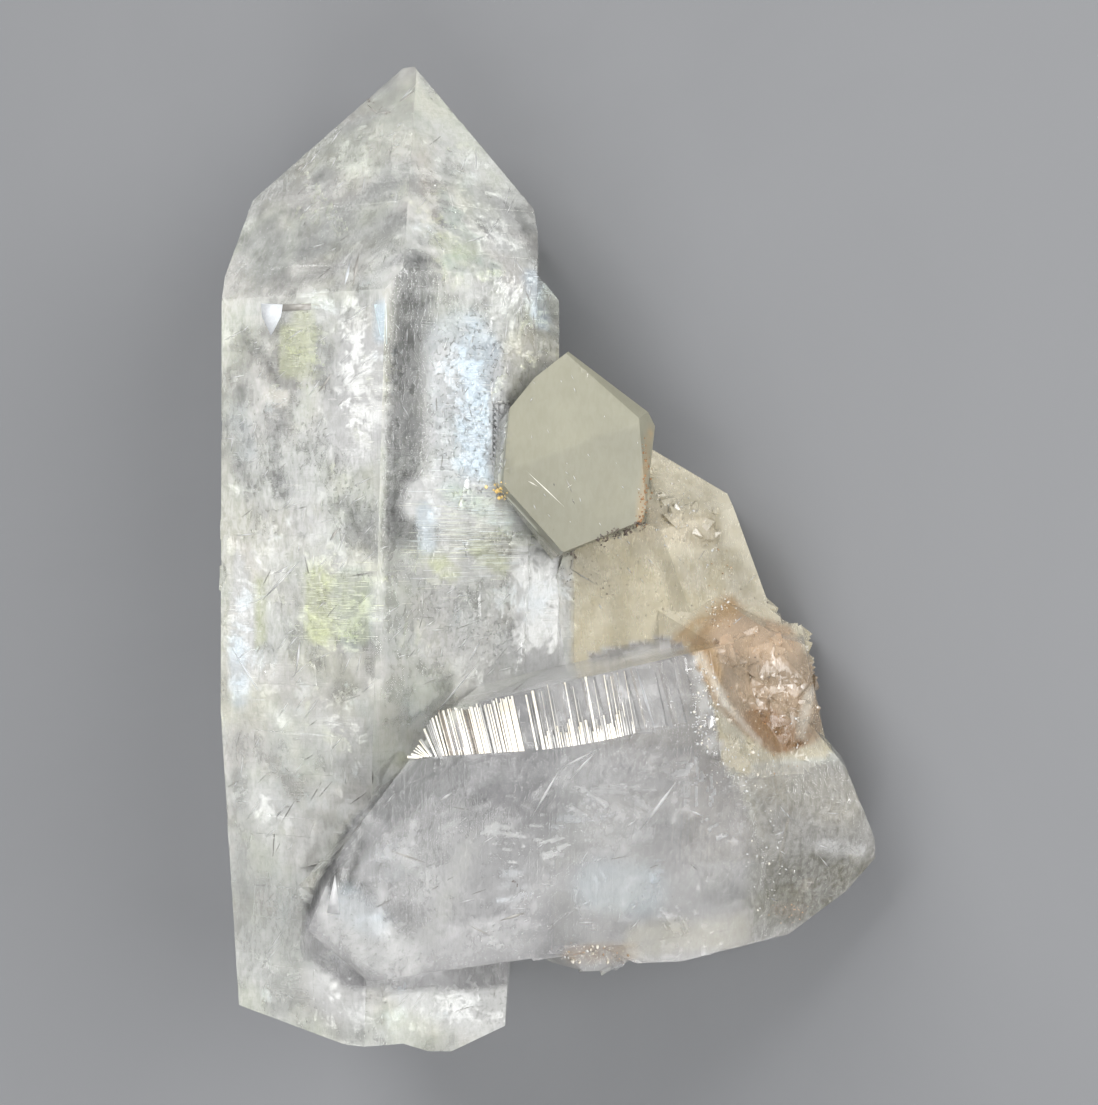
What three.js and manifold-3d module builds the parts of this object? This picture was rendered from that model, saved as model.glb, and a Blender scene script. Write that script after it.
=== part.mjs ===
// Himalayan druzy quartz: a tall clear point with a second point grown across its foot,
// a small crystal showing one broad end face, milky crystals behind them, an iron-stained
// lump and a crust of tiny points. All of it grew together, so it is one solid.
//
// Millimetres. The crystals are laid out in a growth frame: +Y runs up the tall point,
// +X to its right and +Z towards the eye. The whole is then turned about +Y until one back
// prism face of the tall point lies flat on z = 0, with +Z up.
import * as THREE from "three";
import { ConvexGeometry } from "three/addons/geometries/ConvexGeometry.js";
import { mergeVertices } from "three/addons/utils/BufferGeometryUtils.js";
import Module from "manifold-3d";

const wasm = await Module();
wasm.setup();

// Quartz angles in degrees: six prism faces 60 apart, and the lift of a rhombohedron face
const PRISM = 0;
const RHOMB = 38.2;
const TAIL = -90;

// Driving dimensions of the whole cluster, in millimetres
const REST_TURN = 30;
const REST_AZIMUTH = 150;
const REST_FACE_OUT = 13.9;
const TALL_TIP = [-13.3, 49.0, -2.2];
const TALL_LENGTH = 97;
const LOWER_TIP = [-22.4, -33.0, 18.5];
const LOWER_AXIS = [-0.973, -0.102, 0.208];
const LOWER_LENGTH = 48;
const TERRACE_ROOT = 0.5;
const TERRACE_INSET = 0.15;

// A repeatable random number from 0 to 1
function makeRandom(seed) {
  let state = seed;
  return () => {
    state = (state * 1664525 + 1013904223) % 4294967296;
    return state / 4294967296;
  };
}

// Own axes of a crystal: along its length, towards the eye, and across both
function crystalFrame(axis, facing = [0, 0, 1]) {
  const along = new THREE.Vector3(...axis).normalize();
  const front = new THREE.Vector3(...facing);
  front.addScaledVector(along, -front.dot(along)).normalize();
  const across = new THREE.Vector3().crossVectors(along, front);
  return { along, front, across };
}

// One flat face: azimuth round the crystal, lift towards its tip, and a point that it passes
// through, out from the axis and back from the tip
function crystalFace(frame, tip, azimuth, lift, out, back) {
  const turn = THREE.MathUtils.degToRad(azimuth);
  const rise = THREE.MathUtils.degToRad(lift);
  const side = frame.front.clone().multiplyScalar(Math.cos(turn));
  side.addScaledVector(frame.across, Math.sin(turn));
  const normal = side.clone().multiplyScalar(Math.cos(rise)).addScaledVector(frame.along, Math.sin(rise));
  const point = tip.clone().addScaledVector(side, out).addScaledVector(frame.along, -back);
  return new THREE.Plane().setFromNormalAndCoplanarPoint(normal, point);
}

// The solid that all the faces enclose
function enclosed(faces) {
  const corners = [];
  const corner = new THREE.Vector3();
  const lines = new THREE.Matrix3();
  for (let a = 0; a < faces.length; a++) {
    for (let b = a + 1; b < faces.length; b++) {
      for (let c = b + 1; c < faces.length; c++) {
        const [p, q, r] = [faces[a], faces[b], faces[c]];
        lines.set(...p.normal.toArray(), ...q.normal.toArray(), ...r.normal.toArray());
        if (Math.abs(lines.determinant()) < 1e-5) continue;
        corner.set(-p.constant, -q.constant, -r.constant).applyMatrix3(lines.invert());
        const inside = faces.every((face) => face.distanceToPoint(corner) < 1e-4);
        const isNew = corners.every((other) => other.distanceTo(corner) > 0.02);
        if (inside && isNew) corners.push(corner.clone());
      }
    }
  }
  return solidOf(new ConvexGeometry(corners));
}

// A three.js geometry as a solid that can be joined and cut
function solidOf(source) {
  source.deleteAttribute("normal");
  source.deleteAttribute("uv");
  const geometry = mergeVertices(source, 1e-4);
  const vertProperties = new Float32Array(geometry.attributes.position.array);
  const triVerts = new Uint32Array(geometry.index.array);
  return new wasm.Manifold(new wasm.Mesh({ numProp: 3, vertProperties, triVerts }));
}

// A flat face by its heading in the growth frame's X Y plane, its lean towards the eye, and a
// point that it passes through
function headedFace([heading, lean, x, y, z]) {
  const turn = THREE.MathUtils.degToRad(heading);
  const tilt = THREE.MathUtils.degToRad(lean);
  const level = Math.cos(tilt);
  const normal = new THREE.Vector3(level * Math.cos(turn), level * Math.sin(turn), Math.sin(tilt));
  return new THREE.Plane().setFromNormalAndCoplanarPoint(normal, new THREE.Vector3(x, y, z));
}

// Faces of a quartz crystal: prism sides and rhombohedron ends by azimuth, then any further
// faces, by azimuth, lift, out and back, and cuts, by heading, lean and point
function crystalFaces({ tip, axis, facing, sides, ends = {}, others = [], cuts = [], length }) {
  const frame = crystalFrame(axis, facing);
  const top = new THREE.Vector3(...tip);
  const faces = [crystalFace(frame, top, 0, TAIL, 0, length)];
  for (const [azimuth, out] of Object.entries(sides)) {
    faces.push(crystalFace(frame, top, Number(azimuth), PRISM, out, 0));
  }
  for (const [azimuth, back] of Object.entries(ends)) {
    faces.push(crystalFace(frame, top, Number(azimuth), RHOMB, 0, back));
  }
  for (const [azimuth, lift, out, back] of others) {
    faces.push(crystalFace(frame, top, azimuth, lift, out, back));
  }
  return [...faces, ...cuts.map(headedFace)];
}

function crystal(shape) {
  return enclosed(crystalFaces(shape));
}

// A broken lump, all of whose faces are headed faces
function lump(cuts) {
  return enclosed(cuts.map(headedFace));
}

// Tall clear point, with a steep left shoulder and a broken foot
function tallPoint() {
  return {
    tip: TALL_TIP,
    axis: [0, 1, 0],
    sides: { 90: 12.2, [REST_AZIMUTH]: REST_FACE_OUT, "-150": 15.3 },
    ends: { 90: 0, 150: -0.5, "-150": -2.9 },
    others: [
      [30, -0.8, 17.3, 22],
      [-30, 0.8, 19.1, 22],
      [30, 37.3, 17.5, 22.7],
      [-30, 37.4, 19.2, 24.6],
      [-90, 0, 18.4, 0],
      [-90, -4, 17.9, 72],
      [-90, 46.5, 0, -2.1],
      [-90, 12.8, 17.0, 15.7],
      [90, 8, 12.0, 16.2],
      [90, -3, 9.5, 87],
      [75, 54, 0, -0.5],
      [-90, -77, 15.5, 92.6],
      [90, -70, 9.1, 94.4],
      [150, -72, 12, 95],
      [-10, -80, 14, 96.5],
      [-90, -29, 16, 93.6],
    ],
    length: TALL_LENGTH,
  };
}

// Two parallel crystals on the right flank of the tall point, each a step further out
function rightSteps() {
  const upper = crystal({
    tip: [-8.0, 36.2, 0.5],
    axis: [0, 1, 0],
    sides: { 30: 11.6, "-30": 9, 90: 9.0, "-90": 8, 150: 12.2, "-150": 8 },
    ends: { 30: 1.0, "-30": 0, 90: -0.2, "-90": 0, 150: -0.5, "-150": 0 },
    others: [[60, 20, 9.5, 9.5]],
    length: 71,
  });
  const lower = crystal({
    tip: [-7.0, 21.0, 0.5],
    axis: [0, 1, 0],
    sides: { 30: 10.9, "-30": 9, 90: 9.1, "-90": 8, 150: 11.3, "-150": 8 },
    ends: { 30: 0, "-30": 0, 90: 0, "-90": 0, 150: 0, "-150": 0 },
    length: 56,
  });
  return [upper, lower];
}

// Second point, lying across the foot, with its striated face upwards
function lowerPoint() {
  return {
    tip: LOWER_TIP,
    axis: LOWER_AXIS,
    sides: { "-30": 6.5, 30: 20.2, "-90": 7.0, 150: 13, "-150": 2 },
    ends: { "-150": 0 },
    cuts: [
      [101.4, 2.5, -6.1, -13.2, 27.8],
      [142, -3, -12.1, -18.0, 31.5],
      [163, -4, -21.0, -29.6, 27.7],
      [221, -4, -19.4, -36.4, 23.5],
      [171, 32, -18.2, -26.8, 29.2],
      [16, 36, 14.6, -14.6, 26.0],
      [-25, 30, 21.0, -30.0, 16.5],
      underside(1.2),
    ],
    length: LOWER_LENGTH,
  };
}

// Small side point at the left end of the second one, a step lower
function lowerSidePoint() {
  return crystal({
    tip: [-23.4, -31.0, 20.5],
    axis: LOWER_AXIS,
    sides: { "-30": 3.0, 30: 4.4, 90: 5.6, "-90": 3.5, 150: 9, "-150": 6 },
    ends: { "-30": 0.4, 30: 0.2, 90: 0, "-90": 0.8, 150: 0, "-150": 0 },
    length: 20,
  });
}

// Small crystal that shows one broad rhombohedron face, creased across its middle
function endFaceCrystal() {
  return lump([
    [109, 87.6, 4.4, 10.9, 15.4],
    [-71, 87.6, 4.4, 10.9, 15.4],
    [50, 40, 4.6, 15.9, 15.4],
    [56, -38, 4.9, 16.8, 14.6],
    [3, 36, 8.8, 8.0, 15.3],
    [-13, -24, 10.2, 10.2, 14.4],
    [-68, 3, 5.0, 1.5, 15.0],
    [222, 12, -1.6, 3.2, 14.8],
    [174, 20, -4.2, 10.4, 14.8],
    [128, 2, -2.9, 15.3, 14.8],
    [141, 2, -0.4, 17.7, 14.8],
    [100, -50, 0.0, 16.0, -4.0],
    [-20, -50, 9.0, 2.0, -2.0],
    [48, -80, 2.0, 6.0, -6.0],
  ]);
}

// A face that runs parallel to the one that the cluster rests on, a clearance above it
function underside(clearance) {
  const tip = new THREE.Vector3(...TALL_TIP);
  const frame = crystalFrame([0, 1, 0]);
  const face = crystalFace(frame, tip, REST_AZIMUTH, PRISM, REST_FACE_OUT - clearance, 0);
  return [0, REST_TURN - 90, ...face.coplanarPoint(new THREE.Vector3()).toArray()];
}

// Milky crystals behind, stepping down to the right
function milkyCrystals() {
  const first = crystal({
    tip: [8.0, 12.0, 4.0],
    axis: [-0.342, 0.94, 0],
    sides: { 28: 7.4, "-20": 8.6, 90: 6.7, "-90": 14, "-150": 5 },
    ends: { 30: 1.0, "-30": -3, 90: 0.6, 150: 0, "-150": 0.5, "-90": -4 },
    cuts: [underside(0.9)],
    length: 40,
  });
  const second = crystal({
    tip: [15.2, -1.4, 7.0],
    axis: [-0.26, 0.96, 0.0],
    sides: { 35: 6.6, "-25": 7.2, 84: 5.9, "-95": 9, "-145": 5 },
    ends: { 35: -1.0, "-25": -1.4, 84: -1.0, 150: 0, "-145": 0 },
    cuts: [underside(1.8)],
    length: 30,
  });
  return [first, second];
}

// Stained, sugary lump that sits between the milky crystals and the second point
function stainedLump() {
  return lump([
    [100, 34, 18.4, -6.6, 15.4],
    [64, 8, 21.6, -7.2, 13.0],
    [38, 34, 22.8, -9.0, 16.6],
    [12, 6, 25.2, -12.6, 13.0],
    [-16, 26, 24.6, -16.8, 15.0],
    [-58, 30, 21.8, -19.4, 16.6],
    [-120, 20, 18.0, -18.0, 18.0],
    [166, 44, 14.4, -10.4, 17.0],
    [128, 54, 15.6, -8.6, 17.8],
    [20, 70, 21.6, -10.6, 18.6],
    [-12, 84, 20.4, -12.4, 19.6],
    [90, 72, 19.4, -9.6, 18.9],
    [-80, 62, 19.6, -16.6, 18.8],
    [-172, -20, 12.0, -12.0, 10.0],
    underside(1.4),
  ]);
}

// Broken right-hand lump that carries on from the second point
function rightLump() {
  return lump([
    [40, 6, 28.3, -20.3, 14],
    [22, 4, 27.6, -19.0, 14],
    [2, 8, 30.9, -27.5, 14],
    [-38, 4, 30.7, -31.8, 14],
    [-62, -2, 27.8, -35.2, 14],
    [-78, -6, 20.0, -37.8, 14],
    [-92, -6, 12.0, -39.2, 13],
    [-124, -10, 7.4, -38.4, 13],
    [180, 0, 2.0, -25.0, 14],
    [90, 12, 20.0, -13.5, 14],
    [-66, 56, 12.0, -25.0, 20.9],
    [-40, 66, 20.0, -26.0, 18.6],
    [30, 62, 25.0, -22.0, 17.6],
    [-44, 40, 26.4, -30.2, 15.4],
    [-34, -60, 20.0, -30.0, 7.0],
    [20, -58, 27.0, -27.0, 9.4],
    [150, -62, 8.0, -24.0, 4.0],
    underside(0.3),
  ]);
}

// Rough brownish bit that sticks out below the second point
function roughBit() {
  return lump([
    [-90, 0, 4.0, -40.0, 11],
    [-58, 20, 7.0, -39.2, 11],
    [-126, 20, 0.8, -38.9, 11],
    [10, 10, 9.0, -37.0, 11],
    [180, 10, -0.6, -37.0, 11],
    [-80, 62, 4.0, -39.0, 13.0],
    [90, 10, 4.0, -30.0, 11],
    [-80, -50, 4.0, -37.0, 6.0],
  ]);
}

// A thin layer grown on one face of a crystal, kept inside the crystal's other faces. Its middle
// lies across and back from the tip, and its four edges are skewed by a few degrees each.
function terrace(shape, placing, { across, back, width, height, skews, thickness }) {
  const frame = crystalFrame(shape.axis);
  const tip = new THREE.Vector3(...shape.tip);
  const face = crystalFace(frame, tip, ...placing);
  const others = crystalFaces(shape).filter((other) => other.normal.distanceTo(face.normal) > 1e-4);
  others.forEach((other) => (other.constant += TERRACE_INSET));
  const outer = face.clone();
  outer.constant -= thickness;
  const inner = face.clone().negate();
  inner.constant -= TERRACE_ROOT;
  const sideways = new THREE.Vector3().crossVectors(frame.along, face.normal).normalize();
  const upward = new THREE.Vector3().crossVectors(face.normal, sideways);
  const centre = outer.projectPoint(tip, new THREE.Vector3());
  centre.addScaledVector(sideways, across).addScaledVector(upward, -back);
  const edges = [width, height, width, height].map((size, index) => {
    const turn = THREE.MathUtils.degToRad(90 * index + skews[index]);
    const direction = sideways.clone().multiplyScalar(Math.cos(turn)).addScaledVector(upward, Math.sin(turn));
    const edge = centre.clone().addScaledVector(direction, size / 2);
    direction.addScaledVector(face.normal, 0.8).normalize();
    return new THREE.Plane().setFromNormalAndCoplanarPoint(direction, edge);
  });
  return enclosed([...others, outer, inner, ...edges]);
}

// Growth terraces spread down the given faces of one crystal, each face by its azimuth, lift,
// out and back. A band's rise is about how far its terraces stand out.
function terraces(shape, bands, seed) {
  const random = makeRandom(seed);
  return bands.flatMap(({ placing, middle, span, first, last, count, skew = 20, rise = 0.2 }) => {
    const pitch = (last - first) / count;
    return Array.from({ length: count }, (_, index) => {
      const place = {
        across: middle + span * 0.5 * (random() - 0.5),
        back: first + pitch * (index + 0.3 + 0.4 * random()),
        width: span * (0.6 + 0.7 * random()),
        height: pitch * (0.2 + 0.5 * random()),
        skews: [skew, 1.5, skew, 1.5].map((most) => most * (2 * random() - 1)),
        thickness: rise * (0.6 + random()),
      };
      return terrace(shape, placing, place);
    });
  });
}

function tallTerraces() {
  const bands = [
    { placing: [30, -0.8, 17.3, 22], middle: 4, span: 9, first: 25, last: 62, count: 7, rise: 0.06 },
    { placing: [-30, 0.8, 19.1, 22], middle: -1, span: 7, first: 27, last: 94, count: 9, rise: 0.05 },
    { placing: [-90, 0, 18.4, 0], middle: 0, span: 16, first: 28, last: 70, count: 6 },
    { placing: [-150, 0, 15.3, 0], middle: 0, span: 18, first: 26, last: 92, count: 8 },
    { placing: [30, 37.3, 17.5, 22.7], middle: 1, span: 8, first: 16, last: 27, count: 2, rise: 0.06 },
    { placing: [-30, 37.4, 19.2, 24.6], middle: -2, span: 10, first: 16, last: 28, count: 2, rise: 0.06 },
  ];
  return terraces(tallPoint(), bands, 11);
}

// Terraces on the second point's front and back, and growth ridges on its upper face
function lowerTerraces() {
  const bands = [
    { placing: [-30, PRISM, 6.5, 0], middle: -7, span: 5, first: 4, last: 44, count: 3, rise: 0.05 },
    { placing: [-90, PRISM, 7, 0], middle: 0, span: 12, first: 20, last: 42, count: 3 },
    { placing: [30, PRISM, 20.2, 0], middle: 0, span: 60, first: 9, last: 44, count: 15, skew: 2 },
  ];
  return terraces(lowerPoint(), bands, 23);
}

// One small quartz point of the crust: only its six-sided end stands out of the surface
function crustPoint(spot, heading, radius, height, random) {
  const ends = {};
  for (let azimuth = 0; azimuth < 360; azimuth += 60) {
    ends[azimuth] = radius * 0.4 * random();
  }
  const tip = spot.clone().addScaledVector(heading, height);
  const facing = [random() - 0.5, random() - 0.5, random() + 0.2];
  const axis = heading.toArray();
  return crystal({ tip: tip.toArray(), axis, facing, sides: {}, ends, length: height + radius });
}

// Crust of small points where the milky crystals, the stained lump and the points meet.
// Each patch is looked at from a direction, and holds points within a radius of its middle.
function crust(surface) {
  const random = makeRandom(5);
  const mesh = new THREE.Mesh(geometryOf(surface), clearQuartz);
  const caster = new THREE.Raycaster();
  const patches = [
    { middle: [19.0, -11.0, 20], from: [0.1, 0.1, 1], radius: 4.6, count: 34, size: 0.5 },
    { middle: [24.0, -14.6, 18], from: [0.4, 0.1, 1], radius: 3.6, count: 22, size: 0.5 },
    { middle: [14.4, 3.6, 14], from: [0.1, 0.3, 1], radius: 2.6, count: 16, size: 0.45 },
    { middle: [11.6, 5.2, 14], from: [0.1, 0.2, 1], radius: 1.6, count: 8, size: 0.4 },
    { middle: [24.0, -9.0, 10], from: [1, 0.4, 0.1], radius: 5.0, count: 20, size: 0.6 },
    { middle: [16.4, -16.6, 24], from: [0.2, 0.1, 1], radius: 2.6, count: 14, size: 0.4 },
    { middle: [4.0, -40.0, 12], from: [0, -1, 0.4], radius: 3.4, count: 12, size: 0.5 },
    { middle: [10.0, 2.0, -2], from: [0.9, 0.2, -0.5], radius: 5.0, count: 16, size: 0.7 },
  ];
  const points = [];
  for (const { middle, from, radius, count, size } of patches) {
    const towards = new THREE.Vector3(...from).normalize();
    const { front, across } = crystalFrame(towards.toArray(), [0.3, 1, 0.2]);
    for (let index = 0; index < count; index++) {
      const turn = random() * 2 * Math.PI;
      const reach = radius * Math.sqrt(random());
      const start = new THREE.Vector3(...middle).addScaledVector(towards, 30);
      start.addScaledVector(front, reach * Math.cos(turn)).addScaledVector(across, reach * Math.sin(turn));
      caster.set(start, towards.clone().negate());
      const hit = caster.intersectObject(mesh)[0];
      const wobble = new THREE.Vector3(random() - 0.5, random() - 0.5, random() - 0.5);
      const scale = size * (0.6 + 0.8 * random());
      if (!hit || hit.distance > 42) continue;
      const heading = hit.face.normal.clone().addScaledVector(wobble, 1.3).normalize();
      points.push(crustPoint(hit.point, heading, scale, scale * (0.7 + 0.9 * random()), random));
    }
  }
  return points;
}

// Shell-shaped scallops of the broken foot, and chips knocked from the edges
function fractures() {
  const scallops = [
    { at: [-27, -53.6, 3], radius: 10.5 },
    { at: [-17, -56.8, 16], radius: 11.5 },
    { at: [-8, -56.4, 1], radius: 11.5 },
    { at: [-19, -56.0, -9], radius: 11.5 },
    { at: [-30, -50.6, 12], radius: 6.4 },
    { at: [1.4, -51.0, 11], radius: 6.2 },
    { at: [37.9, -29.4, 9], radius: 6.8 },
    { at: [34.6, -41.2, 7], radius: 6.2 },
    { at: [22.2, -44.4, 5], radius: 7.4 },
    { at: [35.6, -19.6, 19], radius: 5.6 },
    { at: [-34.0, 12.0, 11.0], radius: 3.0 },
    { at: [-33.6, -2.0, 11.0], radius: 2.7 },
    { at: [-15.0, -7.0, 21.2], radius: 2.5 },
    { at: [-17.6, 50.4, 0.6], radius: 2.4 },
    { at: [-10.0, 49.0, 1.8], radius: 1.9 },
    { at: [7.2, -41.2, 17.4], radius: 2.6 },
  ];
  return scallops.map(({ at, radius }, index) => {
    const ball = new THREE.SphereGeometry(radius, 14, 9);
    ball.rotateX(index * 0.7).rotateZ(index * 1.1).translate(...at);
    return solidOf(ball);
  });
}

function joined(solids) {
  return solids.reduce((whole, solid) => whole.add(solid));
}

function geometryOf(solid) {
  const { vertProperties, triVerts } = solid.getMesh();
  const geometry = new THREE.BufferGeometry();
  geometry.setAttribute("position", new THREE.BufferAttribute(vertProperties, 3));
  geometry.setIndex(new THREE.BufferAttribute(triVerts, 1));
  geometry.computeVertexNormals();
  return geometry;
}

const clearQuartz = new THREE.MeshStandardMaterial({
  name: "clear quartz",
  color: 0xdcdcd8,
  roughness: 0.12,
  metalness: 0,
});

const crystals = joined([
  crystal(tallPoint()),
  ...rightSteps(),
  crystal(lowerPoint()),
  lowerSidePoint(),
  endFaceCrystal(),
  ...milkyCrystals(),
  stainedLump(),
  rightLump(),
  roughBit(),
  ...tallTerraces(),
  ...lowerTerraces(),
]);
const broken = crystals.subtract(joined(fractures()));
const cluster = joined([broken, ...crust(broken)]);

const quartz = new THREE.Mesh(geometryOf(cluster), clearQuartz);
quartz.name = "quartz_cluster";

// Turn the resting face down, then put the middle of the footprint at the origin
quartz.rotation.y = THREE.MathUtils.degToRad(REST_TURN);
quartz.updateMatrixWorld(true);
const box = new THREE.Box3().setFromObject(quartz, true);
const middle = box.getCenter(new THREE.Vector3());
quartz.position.set(-middle.x, -middle.y, -box.min.z);

const specimen = new THREE.Group();
specimen.add(quartz);

export default specimen;
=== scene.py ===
"""Dresses the solid of a natural quartz cluster: glassy skin, veils inside, druzy crust and stain.

Lengths in the settings are millimetres. Points are written in the growth frame, which the
solid was drawn in: +Y up the tall point, +X to its right, +Z towards the camera.
"""

import math

import bmesh
import bpy
import numpy as np
from mathutils import Euler, Matrix, Vector, noise
from mathutils.bvhtree import BVHTree


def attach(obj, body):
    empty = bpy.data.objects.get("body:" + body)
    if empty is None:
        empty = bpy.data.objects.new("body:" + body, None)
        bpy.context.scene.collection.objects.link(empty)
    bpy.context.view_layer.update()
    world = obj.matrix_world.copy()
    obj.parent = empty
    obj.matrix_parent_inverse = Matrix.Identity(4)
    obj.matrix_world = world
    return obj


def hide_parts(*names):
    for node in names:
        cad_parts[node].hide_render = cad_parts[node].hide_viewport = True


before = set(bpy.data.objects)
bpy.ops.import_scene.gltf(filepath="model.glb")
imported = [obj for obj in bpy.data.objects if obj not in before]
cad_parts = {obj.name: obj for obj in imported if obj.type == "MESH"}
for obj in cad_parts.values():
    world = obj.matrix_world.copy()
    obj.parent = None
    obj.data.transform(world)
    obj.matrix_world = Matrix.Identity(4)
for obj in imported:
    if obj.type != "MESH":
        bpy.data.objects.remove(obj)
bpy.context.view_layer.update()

bl_info = {
    "name": "Quartz cluster looks",
    "version": (1, 0, 0),
    "blender": (4, 5, 0),
    "location": "View3D > Sidebar > Quartz",
    "description": "Builds the skin, veils, crust and setting of a natural quartz cluster",
    "category": "Object",
}

SOLID = "quartz_cluster"
BODY = "root"
MM = 0.001
QUARTZ_IOR = 1.544

# The growth frame is turned about +Y, then shifted, to lie on its resting face
REST_TURN = math.radians(30)
GROWTH_SHIFT = Vector((-0.892, -0.866, 9.155))
TURN = Matrix.Rotation(REST_TURN, 3, "Y")

# In the growth frame: the way the second point points, and its striated upper face, by its
# normal and distance from the origin
LOWER_AXIS = (-0.973, -0.102, 0.208)
BAND_FACE = ((0.13, 0.52, 0.85), 16.18)

# The picture is 1098 by 1105 pixels. The eye's height over the growth frame's origin is in
# millimetres, the focal length and the middle of the view are in pixels, and the last value
# is how many pixels a millimetre takes at the tall point
EYE_HEIGHT = 233
FOCAL_PIXELS = 2310
MIDDLE_X, MIDDLE_Y = 549, 552
PIXELS_PER_MM = 9.9

# Finishes of the skin, in the order of its materials
CLEAR, SATIN, MILKY = range(3)

# The second point's faces stand higher than this in the growth frame, in millimetres
SECOND_HEIGHT = 9


def placed(point):
    """A growth-frame point in millimetres as a row-frame point in metres."""
    return (TURN @ Vector(point) + GROWTH_SHIFT) * MM


def placed_all(points):
    turn = np.array(TURN)
    return (points @ turn.T + np.array(GROWTH_SHIFT)) * MM


def grown_all(points):
    """Row-frame points in metres as growth-frame points in millimetres."""
    turn = np.array(TURN)
    return (points / MM - np.array(GROWTH_SHIFT)) @ turn


def unit(vector):
    vector = np.asarray(vector, float)
    return vector / np.linalg.norm(vector, axis=-1, keepdims=True)


def pictured(points):
    """Where growth-frame points are in the picture, across and down."""
    x, y, z = points.T
    return (MIDDLE_X + x * FOCAL_PIXELS / (EYE_HEIGHT - z),
            MIDDLE_Y - y * FOCAL_PIXELS / (EYE_HEIGHT - z))


class SkinSettings(bpy.types.PropertyGroup):
    cell: bpy.props.FloatProperty(
        name="Cell", description="Spacing of the painted points across the picture, in millimetres",
        default=0.56, min=0.3)
    wear: bpy.props.FloatProperty(
        name="Wear", description="How far worn edges are rounded in, in millimetres", default=0.07, min=0)
    ior: bpy.props.FloatProperty(
        name="Refraction", description="Index of refraction of quartz", default=QUARTZ_IOR, min=1, max=2)


class VeilSettings(bpy.types.PropertyGroup):
    deep_sheets: bpy.props.IntProperty(
        name="Deep sheets", description="Healed fractures deep in the tall point", default=44, min=1)
    front_sheets: bpy.props.IntProperty(
        name="Front sheets", description="Small fractures close under its front faces", default=400, min=1)
    lower_sheets: bpy.props.IntProperty(
        name="Lower sheets", description="Healed fractures in the second point", default=46, min=1)
    flake: bpy.props.FloatProperty(
        name="Flake", description="Mean length of a bright flake, in millimetres", default=0.24, min=0.05)


class CrustSettings(bpy.types.PropertyGroup):
    point_height: bpy.props.FloatProperty(
        name="Point height", description="Mean height of a druzy point, in millimetres",
        default=0.42, min=0.05)


class StageSettings(bpy.types.PropertyGroup):
    floor_tint: bpy.props.FloatVectorProperty(
        name="Floor", description="Colour of the floor", subtype="COLOR",
        default=(0.15, 0.153, 0.159), min=0, max=1)
    camera_distance: bpy.props.FloatProperty(
        name="Camera distance", description="From the tall point's axis plane, in millimetres",
        default=EYE_HEIGHT, min=50)
    lens: bpy.props.FloatProperty(
        name="Lens", description="Focal length", default=75.74, min=10, unit="CAMERA")


# Nodes

def add_node(tree, kind, inputs=None, **settings):
    node = tree.nodes.new(kind)
    for name, value in settings.items():
        setattr(node, name, value)
    for name, value in (inputs or {}).items():
        if isinstance(value, bpy.types.NodeSocket):
            tree.links.new(value, node.inputs[name])
        else:
            node.inputs[name].default_value = value
    return node


def group(name, inputs, outputs):
    """A new shader group with its sockets, its tree and its two end nodes."""
    tree = bpy.data.node_groups.new(name, "ShaderNodeTree")
    kinds = {"value": "NodeSocketFloat", "vector": "NodeSocketVector", "color": "NodeSocketColor"}
    for label, kind, default in inputs:
        socket = tree.interface.new_socket(label, in_out="INPUT", socket_type=kinds[kind])
        if default is not None:
            socket.default_value = default
    for label, kind in outputs:
        tree.interface.new_socket(label, in_out="OUTPUT", socket_type=kinds[kind])
    return tree, tree.nodes.new("NodeGroupInput"), tree.nodes.new("NodeGroupOutput")


def build_groups():
    """Patterns that several materials share."""
    groups = {}

    tree, source, sink = group(
        "mineral clouding",
        [("Vector", "vector", None), ("Scale", "value", 0.1), ("Detail", "value", 5.0),
         ("Low", "value", 0.4), ("High", "value", 0.65)],
        [("Cloud", "value")])
    cloud = add_node(tree, "ShaderNodeTexNoise", {
        "Vector": source.outputs["Vector"], "Scale": source.outputs["Scale"],
        "Detail": source.outputs["Detail"], "Roughness": 0.62, "Distortion": 0.6})
    ramp = add_node(tree, "ShaderNodeMapRange", {
        "Value": cloud.outputs["Fac"], "From Min": source.outputs["Low"],
        "From Max": source.outputs["High"]}, interpolation_type="SMOOTHSTEP")
    tree.links.new(ramp.outputs["Result"], sink.inputs["Cloud"])
    groups["cloud"] = tree

    tree, source, sink = group(
        "growth striations", [("Along", "value", 0.0), ("Pitch", "value", 0.5)], [("Height", "value")])
    scaled = add_node(tree, "ShaderNodeMath", {0: source.outputs["Along"], 1: source.outputs["Pitch"]},
                      operation="DIVIDE")
    lines = add_node(tree, "ShaderNodeTexNoise", {"W": scaled.outputs["Value"], "Scale": 1.0, "Detail": 2.0,
                                                  "Roughness": 0.7}, noise_dimensions="1D")
    tree.links.new(lines.outputs["Fac"], sink.inputs["Height"])
    groups["striations"] = tree
    return groups


GROUPS = {}


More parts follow.
